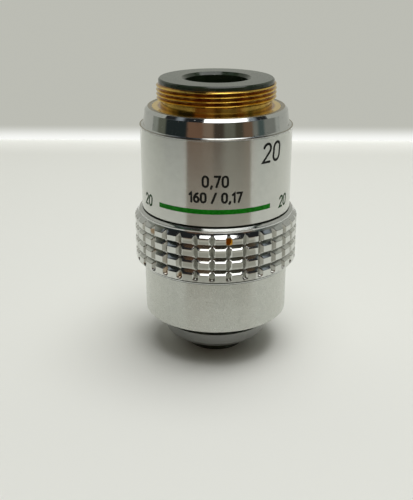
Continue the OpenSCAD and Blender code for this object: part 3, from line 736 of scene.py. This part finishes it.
# Width of each glyph for a height of 1, and its strokes
GLYPHS = {
    "0": (0.50, [arc(0.25, 0.71, 0.25, 0.29, 0, 180) + arc(0.25, 0.29, 0.25, 0.29, 180, 360)
                 + [(0.5, 0.71)]]),
    "1": (0.24, [[(0.0, 0.80), (0.20, 1.0), (0.20, 0.0)]]),
    "2": (0.50, [arc(0.25, 0.73, 0.25, 0.27, 165, -35) + [(0.0, 0.0), (0.5, 0.0)]]),
    "6": (0.50, [arc(0.25, 0.29, 0.25, 0.29, 150, -210, 24) + arc(0.62, 0.36, 0.62, 0.64, 168, 110, 8)]),
    "7": (0.48, [[(0.0, 1.0), (0.48, 1.0), (0.16, 0.0)]]),
    "/": (0.42, [[(0.0, -0.04), (0.42, 1.02)]]),
    ",": (0.12, [[(0.10, 0.06), (0.02, -0.16)]]),
    " ": (0.16, []),
}
# Gap between glyphs for a height of 1, and width of the strips that bend round the sleeve
GLYPH_GAP = 0.26
STRIP = 0.3 * MM
# Each numeral's name, figures and slot, the names of its height and of its stroke with a factor,
# its slant, its angle from the front in degrees and the height of its foot in millimetres
NUMERALS = (
    ("numeral_large", "20", "black_stop", "large_height", ("stroke", 1.22), 0.10, 43.2, 36.75),
    ("numeral_aperture", "0,70", "black_stop", "aperture_height", ("stroke", 1), 0, -0.5, 33.46),
    ("numeral_tube", "160 / 0,17", "black_stop", "tube_height", ("stroke", 1.02), 0, -0.3, 30.85),
    ("numeral_left", "20", "green_enamel", "side_height", ("fine_stroke", 1), 0.12, -61.0, 28.37),
    ("numeral_right", "20", "green_enamel", "side_height", ("fine_stroke", 1), 0.12, 59.3, 28.36),
)


def stroke_strip(points, width, slant, scale, shift):
    """One stroke as a flat strip with round ends, in the plane of the writing."""
    path = [Vector((x + slant * y, y)) * scale + shift for x, y in points]
    half = width / 2
    ahead = (path[1] - path[0]).normalized()
    behind = (path[-2] - path[-1]).normalized()
    rims = ([], [])
    for i, point in enumerate(path):
        before = (point - path[i - 1]).normalized() if i else ahead
        after = (path[i + 1] - point).normalized() if i + 1 < len(path) else -behind
        along = (before + after).normalized() if (before + after).length > 1e-6 else before
        across = Vector((-along.y, along.x))
        reach = half / max(0.5, across.dot(Vector((-before.y, before.x))))
        rims[0].append(point + across * reach)
        rims[1].append(point - across * reach)
    outline = list(rims[0])
    for centre, way in ((path[-1], -behind), (path[0], -ahead)):
        side = math.atan2(way.y, way.x)
        outline += [centre + Vector((math.cos(a), math.sin(a))) * half
                    for a in (side + math.radians(d) for d in (55, 20, -20, -55))]
        if centre is path[-1]:
            outline += reversed(rims[1])
    return outline


class OBJECTIVE_OT_numerals(bpy.types.Operator):
    """Plain painted numerals on the upper sleeve"""
    bl_idname = "objective.numerals"
    bl_label = "Numerals"

    def execute(self, context):
        n = context.scene.objective_numerals
        finish = context.scene.objective_finish
        black = paint("black_paint", finish.ink, 0.38)
        green = paint("green_paint", shade(finish.enamel, 0.25), 0.34)
        inks = {"black_stop": black, "green_enamel": green}
        for name, figures, slot, height, stroke, slant, degrees, base in NUMERALS:
            bm = numeral_mesh(figures, getattr(n, height), getattr(n, stroke[0]) * stroke[1], slant)
            wrap(bm, radius("upper_sleeve"), n, math.radians(degrees), base * MM)
            piece(name, bm, "barrel", [inks[slot]], slot, sharp=40)
        return {"FINISHED"}


def numeral_mesh(figures, height, stroke, slant):
    """The numerals as a flat mesh, centred on their width."""
    bm = bmesh.new()
    tall = height - stroke
    total = sum(GLYPHS[c][0] + GLYPH_GAP for c in figures) - GLYPH_GAP
    x = -total / 2
    for c in figures:
        width, strokes = GLYPHS[c]
        for points in strokes:
            outline = stroke_strip(points, stroke, slant, tall, Vector((x * tall, stroke / 2)))
            bm.faces.new([bm.verts.new((p.x, p.y, 0)) for p in outline])
        x += width + GLYPH_GAP
    return bm


def wrap(bm, sleeve_r, n, turn, base):
    """Thickens the flat numerals, cuts them into narrow strips and lays them round the sleeve."""
    bmesh.ops.triangulate(bm, faces=bm.faces)
    low_x, high_x = min(v.co.x for v in bm.verts), max(v.co.x for v in bm.verts)
    strips = max(2, round((high_x - low_x) / STRIP))
    for i in range(1, strips):
        at = low_x + (high_x - low_x) * i / strips
        bmesh.ops.bisect_plane(bm, geom=whole(bm), plane_co=(at, 0, 0), plane_no=(1, 0, 0), dist=1e-9)
    raised = bmesh.ops.extrude_face_region(bm, geom=bm.faces[:])
    top = [v for v in raised["geom"] if isinstance(v, bmesh.types.BMVert)]
    for v in bm.verts:
        v.co.z = -n.print_depth
    for v in top:
        v.co.z = n.print_rise
    for v in bm.verts:
        v.co = polar(sleeve_r + v.co.z, FRONT + turn + v.co.x / sleeve_r, base + v.co.y)
    bmesh.ops.recalc_face_normals(bm, faces=bm.faces)


# The grip ring and the lower sleeve

def grip_bands(g):
    """Heights that the grip ring's rows, chamfer and foot start at."""
    top = high("grip_sleeve") - g.seam_h
    edge_top = top - g.bevel_h
    chamfer_top = edge_top - g.edge_h
    chamfer = chamfer_top - g.chamfer_h
    foot_top = chamfer - g.first_pad - g.last_pad - g.grooves * g.groove_w - (g.grooves - 1) * g.pad
    first, pitch = chamfer - g.first_pad - g.groove_w / 2, g.groove_w + g.pad
    return {"top": top, "edge_top": edge_top, "chamfer_top": chamfer_top, "chamfer": chamfer,
            "foot_top": foot_top, "foot": foot_top - g.foot_h, "pad_r": radius("grip_sleeve"),
            "middles": [first - i * pitch for i in range(g.grooves)]}


def cut_radius(g, bands, across, z):
    """Radius of the ring where a flute's middle is the given distance away along the pads."""
    r = pad_r = bands["pad_r"]
    for middle in bands["middles"]:
        r = soft_min(r, pad_r - g.groove_depth * (1 - abs(z - middle) / (g.groove_w / 2)), g.softness)
    r = soft_min(r, pad_r - (z - bands["chamfer"]) * g.chamfer_w / g.chamfer_h, g.softness)
    foot = bands["foot_top"] + g.flute_land + g.flute_w / 2
    below = max(0.0, foot - z) / (g.flute_w / 2 * g.runout)
    aside = abs(across) / (g.flute_w / 2)
    deep = min(1 - aside, g.foot_steepness * (1 - math.hypot(aside, below)))
    return soft_min(r, pad_r - g.flute_depth * deep, g.softness)


def near(edge, soft):
    """Heights closely beside an edge, for a smooth round."""
    return [edge + soft * k / 2 for k in (-2, -1, 0, 1, 2)]


class OBJECTIVE_OT_grip_sleeve(bpy.types.Operator):
    """Grip ring with its four rows of pads, and the sleeve below it, in one turned piece"""
    bl_idname = "objective.grip_sleeve"
    bl_label = "Grip sleeve"

    def execute(self, context):
        g = context.scene.objective_grip
        bands = grip_bands(g)
        pad_r, chamfer, foot_top, foot = (bands[k] for k in ("pad_r", "chamfer", "foot_top", "foot"))
        heights = self.row_heights(g, bands)
        foot_r, edge_r = pad_r - g.foot_inset, pad_r - g.chamfer_w
        top_r = edge_r - g.bevel_w
        seam_r, seam_top = top_r - g.seam_depth, high("grip_sleeve")
        bore_r = radius("mount_body") + CLEARANCE
        lower = low("grip_sleeve")
        below = [(bore_r, lower + g.lip_t), (g.lip_bore, lower + g.lip_t), (g.lip_bore, lower),
                 (g.lower_r - g.lower_bevel, lower), (g.lower_r, lower + g.lower_bevel),
                 (g.lower_r, foot), (foot_r - g.foot_bevel, foot), (foot_r, foot + g.foot_bevel)]
        rows = [(foot_r, foot_top - g.foot_shadow_line), (foot_r, foot_top), (pad_r, foot_top),
                *((pad_r, z) for z in heights)]
        above = [(edge_r, bands["chamfer_top"]), (edge_r, bands["edge_top"]), (top_r, bands["top"]),
                 (seam_r, bands["top"]), (seam_r, seam_top), (bore_r, seam_top)]
        kept = range(len(below), len(below) + len(rows))
        outline = rounded(below + rows + above, soft=0.05 * MM, keep=kept)
        bm = spun(outline, g.flutes * len(FLUTE_LINES))
        shape_pads(bm, g, bands)
        finish = context.scene.objective_finish
        plain, padded, polished, dark = range(4)
        for face in bm.faces:
            middle = face.calc_center_median()
            z, away = middle.z, off_axis(middle)
            # Painted shadow: the seam's faces in the gap under the upper sleeve take the black material.
            if z > bands["top"] - 1e-7 and away < top_r:
                face.material_index = dark
            elif z > foot_top:
                face.material_index = padded if z < chamfer else polished
            # Painted shadow lines: the foot's bevel and its strip under the pads take the black material.
            elif z > foot and away > g.lower_r:
                in_painted_shadow = z < foot + g.foot_bevel or z > foot_top - g.foot_shadow_line
                face.material_index = dark if in_painted_shadow else polished
            else:
                face.material_index = plain
        # The black material is painted shadow, in the seam and on the foot's lines.
        piece("grip_ring_and_sleeve", bm, "barrel",
              [satin_chrome(finish, "satin_lower_sleeve", finish.lower), grip_chrome(finish, g, bands),
               polished_chrome(finish, "ring_chrome"), black_anodised(finish, "painted_shadow_black", 0.6)],
              "satin_chrome", "grip_sleeve", sharp=32)
        return {"FINISHED"}

    def row_heights(self, g, bands):
        """Heights of the mesh's lines in the rows of pads and the chamfer, close where the form bends."""
        soft, half_w = g.softness, g.groove_w / 2
        heights = set(near(bands["chamfer"], soft))
        for middle in bands["middles"]:
            heights.update(middle + half_w * k for k in (-0.55, -0.1, 0, 0.1, 0.55))
            heights.update(near(middle - half_w, soft) + near(middle + half_w, soft))
        foot = bands["foot_top"] + g.flute_land
        heights.update(foot + g.flute_w / 2 * k for k in (0, 0.06, 0.12, 0.19, 0.27, 0.36, 0.5, 0.7, 1.0))
        heights.update(bands["chamfer"] + g.chamfer_h * k / 5 for k in range(1, 5))
        heights.update((bands["chamfer"] - g.first_pad / 2, foot + g.flute_w * 0.8, foot - soft))
        return sorted(heights)


# Places of the mesh's lines across one flute and pad, in half widths of a flute from its middle
FLUTE_SIDE = (0.1, 0.42, 0.75, 0.88, 0.94, 1.0, 1.07, 1.14, 1.7)
FLUTE_LINES = (0.0, *FLUTE_SIDE, *(-at for at in reversed(FLUTE_SIDE)))


def shape_pads(bm, g, bands):
    """Shifts the spun lines to the flutes' edges and cuts the flutes, the grooves and the chamfer."""
    pad_r, half_w = bands["pad_r"], g.flute_w / 2
    period = TURN / g.flutes
    count = len(FLUTE_LINES)
    known = {}
    for vert in bm.verts:
        r = off_axis(vert.co)
        index = round(math.atan2(vert.co.y, vert.co.x) / TURN * g.flutes * count)
        flute, line = divmod(index, count)
        across = FLUTE_LINES[line] * half_w
        middle = FRONT + g.flute_turn + (flute + (1 if line > count // 2 else 0)) * period
        if r > pad_r - 1e-6:
            key = line, round(vert.co.z, 8)
            if key not in known:
                known[key] = cut_radius(g, bands, across, vert.co.z)
            r = known[key]
        vert.co = polar(r, middle + across / pad_r, vert.co.z)
    split_ridges(bm, bands)
    bmesh.ops.recalc_face_normals(bm, faces=bm.faces)


def split_ridges(bm, bands):
    """Splits the rows' bent faces along the higher diagonal, so that crossing flanks meet in a ridge."""
    for face in [f for f in bm.faces if len(f.verts) == 4]:
        a, b, c, d = face.verts
        if not bands["foot_top"] < face.calc_center_median().z < bands["chamfer_top"]:
            continue
        reach = [off_axis(v.co) for v in (a, b, c, d)]
        lift = reach[0] + reach[2] - reach[1] - reach[3]
        if abs(lift) > 1e-6:
            ends = (a, c) if lift > 0 else (b, d)
            bmesh.utils.face_split(face, *ends)


# The nose, the lenses and the spring

# Sides of the spring's round wire, and steps in one turn of it
WIRE_SIDES = 16
COIL_STEPS = 48


class OBJECTIVE_OT_nose(bpy.types.Operator):
    """Tapered nose cap and the black cell of the front lens"""
    bl_idname = "objective.nose"
    bl_label = "Nose"

    def execute(self, context):
        n = context.scene.objective_nose
        finish = context.scene.objective_finish
        bottom, top, rear_r = low("nose_cap"), high("nose_cap"), radius("nose_cap")
        wall = bottom + n.front_wall
        corners = [(n.front_bore, bottom), (n.front_r, bottom), (n.waist_r, bottom + n.bevel_h),
                   (rear_r, top), (n.joint_r, top), (n.joint_r, wall), (n.front_bore, wall)]
        piece("nose_band", spun(rounded(corners, soft=0.05 * MM), ROUND), "nose",
              [satin_chrome(finish, "nose_chrome", finish.nose, 0.3)], "nose_chrome", "nose_cap")
        cell_top, cell_r = high("front_cell"), radius("front_cell")
        lens_r = radius("front_lens") + CLEARANCE
        spigot_r = n.front_bore - CLEARANCE
        lens_edge = high("front_lens") - n.lens_rise
        corners = [(n.window_r, n.rim_t / 2), (n.window_r + n.rim_t / 2, 0), (n.rim_r, 0), (cell_r, bottom),
                   (spigot_r, bottom), (spigot_r, cell_top), (spigot_r - n.cell_wall, cell_top),
                   (lens_r, lens_edge), (lens_r, n.rim_t), (n.window_r, n.rim_t)]
        piece("black_front_cell", spun(rounded(corners, soft=0.04 * MM)), "nose",
              [black_anodised(finish, "black_cell", 0.3)], "black_cell", "front_cell")
        return {"FINISHED"}


class OBJECTIVE_OT_spring(bpy.types.Operator):
    """Round wire return spring with closed ends"""
    bl_idname = "objective.spring"
    bl_label = "Return spring"

    def execute(self, context):
        n = context.scene.objective_nose
        bottom, top = low("return_spring") + n.wire_r, high("return_spring") - n.wire_r
        coil_r = radius("return_spring") - n.wire_r
        bm = bmesh.new()
        upright_ring = Matrix.Translation((coil_r, 0, 0)) @ Matrix.Rotation(math.pi / 2, 4, "X")
        ring = bmesh.ops.create_circle(bm, segments=WIRE_SIDES, radius=n.wire_r, cap_ends=True,
                                       matrix=upright_ring)
        steps = round(n.coil_turns * COIL_STEPS)
        bmesh.ops.spin(bm, geom=whole(bm), cent=(0, 0, 0), axis=(0, 0, 1), dvec=(0, 0, 0),
                       angle=TURN * n.coil_turns, steps=steps, use_merge=False)
        place_coils(bm, len(ring["verts"]), steps, bottom, top)
        bmesh.ops.recalc_face_normals(bm, faces=bm.faces)
        steel = spring_steel(context.scene.objective_finish)
        spring = piece("coil_spring", bm, "barrel", [steel], "steel", "return_spring")
        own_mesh(spring)
        return {"FINISHED"}


def place_coils(bm, size, steps, bottom, top):
    """Raises the spun rings of the given size along the coil, slowly at both ends, which close."""
    for i, vert in enumerate(bm.verts):
        t = min(steps, i // size) / steps
        vert.co.z += bottom + (top - bottom) * t * t * (3 - 2 * t)


class OBJECTIVE_OT_inner_pieces(bpy.types.Operator):
    """Finishes of the glass, the cells, the barrel and the other pieces inside"""
    bl_idname = "objective.inner_pieces"
    bl_label = "Inner pieces"

    def execute(self, context):
        finish = context.scene.objective_finish
        made = {
            "glass": coated_glass(finish),
            "brass": satin_chrome(finish, "inner_brass", finish.brass, 0.3),
            "steel": spring_steel(finish),
            "black_barrel": black_anodised(finish, "black_barrel", 0.45),
            "black_cell": black_anodised(finish, "black_ring", 0.4),
            "cell_metal": satin_chrome(finish, "dark_cell", shade(finish.satin, 0.3), 0.4),
        }
        for part in frame["record"]["subparts"]:
            obj, material = frame["nodes"].get(part["node"]), made.get(part["material_slot"])
            if obj and material and not obj.hide_render:
                obj.data.materials.clear()
                obj.data.materials.append(material)
        return {"FINISHED"}


# Stage

# What stands round the object: azimuth from the front in degrees, and the colour from there on
ROOM = ((-180, (0.6, 0.62, 0.6)), (-130, (0.42, 0.44, 0.38)), (-101, (0.20, 0.21, 0.16)),
        (-84, (0.03, 0.04, 0.04)), (-45, (0.28, 0.16, 0.10)), (-20, (0.34, 0.25, 0.18)),
        (-4, (0.10, 0.08, 0.06)), (12, (0.22, 0.22, 0.17)), (29, (0.11, 0.10, 0.07)),
        (42, (0.26, 0.17, 0.11)), (58, (0.31, 0.32, 0.28)), (67, (0.12, 0.16, 0.15)),
        (79, (0.34, 0.35, 0.31)), (104, (0.60, 0.62, 0.56)))
# Degrees over which one colour turns into the next, on each side of their border
ROOM_EDGE = 3
# The ceiling from front to back, with one bluish strip of daylight: place from 0 to 1, and colour
CEILING = ((0.49, (0.03, 0.032, 0.034)), (0.51, (0.42, 0.47, 0.52)), (0.54, (0.42, 0.47, 0.52)),
           (0.565, (0.03, 0.032, 0.035)), (0.75, (0.05, 0.05, 0.05)))
# The ceiling lamp's two parts: name, watts and place. Both have the same size in metres and turn.
LAMPS = (("ceiling", 1.1, (0.074, -0.078, 0.5)), ("ceiling_fill", 1.3, (0.03, 0.0, 0.5)))
LAMP_SIZE = (0.30, 0.42)
LAMP_TURN = math.radians(-22)
LAMP_TONE = (1.0, 0.995, 0.98)


def stage_paint(name, tone):
    """Matt paint that is clear from behind."""
    g = Material(name)
    g.set(Base_Color=g.mixed(g.noise(0.004, 3.0), tone, shade(tone, 0.985)), Roughness=0.95,
          Specular_IOR_Level=0.05)
    back = g.node("ShaderNodeNewGeometry").outputs["Backfacing"]
    clear = g.node("ShaderNodeBsdfTransparent").outputs[0]
    g.show(back, g.shader.outputs[0], clear, "Material Output")
    return g


def stage_piece(name, bm, material):
    """A flat piece of the stage."""
    obj = meshed(name, bm, material)
    return obj


class OBJECTIVE_OT_stage(bpy.types.Operator):
    """Pale floor and backdrop, camera, lamp and room"""
    bl_idname = "objective.stage"
    bl_label = "Stage"

    def execute(self, context):
        s = context.scene.objective_stage
        self.camera(context, s)
        self.floor(s)
        self.card(s)
        self.lamps()
        self.room(context, s)
        context.scene.view_settings.view_transform = "Standard"
        return {"FINISHED"}

    def camera(self, context, s):
        data = bpy.data.cameras.new("camera")
        data.sensor_width = 36.0
        data.lens = s.focal / s.frame_long * data.sensor_width
        data.shift_x = (s.frame_short / 2 - s.axis_x) / s.frame_long
        data.clip_start, data.clip_end = 0.001, 20.0
        camera = placed("camera", data)
        tilt, roll = math.pi / 2 - s.camera_pitch, s.camera_roll
        camera.matrix_world = (Matrix.Translation((0, -s.camera_back, s.camera_height))
                               @ Matrix.Rotation(tilt, 4, "X") @ Matrix.Rotation(roll, 4, "Z"))
        context.scene.camera = camera

    def floor(self, s):
        """The round floor, cut off at the upright backdrop; both turn paler towards their border, a painted
        highlight where a cove would catch the light.
        """
        bm = bmesh.new()
        bmesh.ops.create_circle(bm, segments=128, radius=s.floor_r, cap_ends=True)
        bmesh.ops.bisect_plane(bm, geom=whole(bm), plane_co=(0, s.wall_back, 0), plane_no=(0, 1, 0),
                               clear_outer=True)
        g = stage_paint("pale_floor", s.floor)
        painted_cove_highlight = g.ranged(g.axes()[1], s.wall_back - s.painted_cove_highlight_w, s.wall_back, smooth=True)
        g.set(Base_Color=g.mixed(painted_cove_highlight, s.floor, s.painted_cove_highlight))
        stage_piece("floor", bm, g.material)
        bm = bmesh.new()
        half = s.wall_w / 2
        bm.faces.new([bm.verts.new((x, s.wall_back, z))
                      for x, z in ((-half, 0), (half, 0), (half, s.wall_h), (-half, s.wall_h))])
        g = stage_paint("pale_wall", (0, 0, 0))
        # The backdrop glows, brightest in the painted highlight at its foot.
        painted_cove_highlight = g.ranged(g.axes()[2], 0.0, s.painted_cove_highlight_h, 1.0, 0.0, smooth=True)
        g.set(Base_Color=(0, 0, 0), Emission_Color=g.mixed(painted_cove_highlight, s.wall, s.painted_cove_highlight), Emission_Strength=1)
        stage_piece("backdrop", bm, g.material)

    def card(self, s):
        """The brown card that the upright walls mirror; the camera doesn't see it."""
        sweep, steps, lift = s.card_right - s.card_left, 40, 0.2 * MM
        angles = [FRONT + s.card_left + sweep * i / steps for i in range(steps + 1)]
        rim = [polar(s.card_near, a, lift) for a in angles]
        rim += [polar(s.floor_r, a, lift) for a in reversed(angles)]
        bm = bmesh.new()
        face = bm.faces.new([bm.verts.new(p) for p in rim])
        face.normal_update()
        if face.normal.z < 0:
            face.normal_flip()
        g = stage_paint("card", s.card)
        away = g.off_axis()
        grey = g.ranged(away, s.card_near, s.card_grey, smooth=True)
        pale = g.ranged(away, s.pale_near, s.pale_far, smooth=True)
        brown = g.ranged(away, s.card_mid, s.card_far, smooth=True)
        right = g.ranged(g.azimuth(), s.card_turn - s.turn_blur, s.card_turn + s.turn_blur,
                         0.0, 0.45, smooth=True)
        near_part = g.mixed(pale, g.mixed(grey, s.floor, s.card_tone), s.card_pale)
        g.set(Base_Color=g.mixed(brown, near_part, g.mixed(right, s.card, s.card_tone)))
        card = stage_piece("card", bm, g.material)
        card.visible_camera = card.visible_diffuse = card.visible_shadow = False

    def lamps(self):
        """The ceiling lamp in two parts: what polished metal mirrors, and plain light for the rest."""
        for name, power, place in LAMPS:
            data = bpy.data.lights.new(name, "AREA")
            data.shape = "RECTANGLE"
            data.size, data.size_y = LAMP_SIZE
            data.energy, data.color = power, LAMP_TONE
            lamp = placed(name, data)
            lamp.matrix_world = Matrix.Translation(place) @ Matrix.Rotation(LAMP_TURN, 4, "Z")
            lamp.visible_glossy = name == "ceiling"

    def room(self, context, s):
        """The room that metal mirrors, with dark shapes near the horizon; the camera sees a plain wall."""
        world = bpy.data.worlds.new("room")
        context.scene.world = world
        world.use_nodes = True
        g = Graph(world.node_tree, "Generated")
        stops = [(0, ROOM[0][1])]
        for (_, before), (degrees, tone) in zip(ROOM, ROOM[1:]):
            stops += [((degrees - ROOM_EDGE + 180) / 360, before),
                      ((degrees + ROOM_EDGE + 180) / 360, tone)]
        shapes = g.ramp(g.ranged(g.azimuth(), -math.pi, math.pi), stops, interpolation="EASE")
        _, back, up = g.axes()
        ceiling = g.ramp(g.ranged(back, -1, 1), CEILING)
        level = g.ranged(g.maths("ABSOLUTE", up), 0.58, 0.70, 1.0, 0.0, smooth=True)
        mirrored = g.node("ShaderNodeBackground", {"Color": g.mixed(level, ceiling, shapes),
                                                   "Strength": s.room_level})
        plain = g.tree.nodes["Background"]
        g.feed(plain.inputs["Color"], s.wall)
        g.feed(plain.inputs["Strength"], 1)
        path = g.node("ShaderNodeLightPath").outputs
        clear = g.maths("MAXIMUM", path["Is Camera Ray"], path["Is Transmission Ray"])
        g.show(clear, mirrored.outputs[0], plain.outputs[0], "World Output")


class OBJECTIVE_PT_panel(bpy.types.Panel):
    """Lists the pieces of the objective"""
    bl_idname = "OBJECTIVE_PT_panel"
    bl_label = "Microscope objective"
    bl_space_type = "VIEW_3D"
    bl_region_type = "UI"
    bl_category = "Objective"

    def draw(self, context):
        for operator in OPERATORS:
            self.layout.operator(operator.bl_idname)
        for name in GROUPS:
            group = getattr(context.scene, name)
            box = self.layout.box()
            for prop in group.bl_rna.properties:
                if prop.identifier not in ("rna_type", "name"):
                    box.prop(group, prop.identifier)


OPERATORS = (OBJECTIVE_OT_mount, OBJECTIVE_OT_rear_stop, OBJECTIVE_OT_collar, OBJECTIVE_OT_upper_sleeve,
             OBJECTIVE_OT_stripe, OBJECTIVE_OT_numerals, OBJECTIVE_OT_grip_sleeve, OBJECTIVE_OT_nose,
             OBJECTIVE_OT_spring, OBJECTIVE_OT_inner_pieces, OBJECTIVE_OT_stage)
GROUPS = {"objective_thread": ObjectiveThread, "objective_housing": ObjectiveHousing,
          "objective_numerals": ObjectiveNumerals, "objective_grip": ObjectiveGrip,
          "objective_nose": ObjectiveNose, "objective_finish": ObjectiveFinish,
          "objective_stage": ObjectiveStage}


def register():
    for group in GROUPS.values():
        bpy.utils.register_class(group)
    for name, group in GROUPS.items():
        setattr(bpy.types.Scene, name, PointerProperty(type=group))
    for operator in (*OPERATORS, OBJECTIVE_PT_panel):
        bpy.utils.register_class(operator)


def unregister():
    for operator in (OBJECTIVE_PT_panel, *reversed(OPERATORS)):
        bpy.utils.unregister_class(operator)
    for name, group in GROUPS.items():
        delattr(bpy.types.Scene, name)
        bpy.utils.unregister_class(group)


def main():
    register()
    bpy.ops.objective.mount()
    bpy.ops.objective.rear_stop()
    bpy.ops.objective.collar()
    bpy.ops.objective.upper_sleeve()
    bpy.ops.objective.stripe()
    bpy.ops.objective.numerals()
    bpy.ops.objective.grip_sleeve()
    bpy.ops.objective.nose()
    bpy.ops.objective.spring()
    bpy.ops.objective.inner_pieces()
    bpy.ops.objective.stage()


if __name__ == "__main__":
    main()
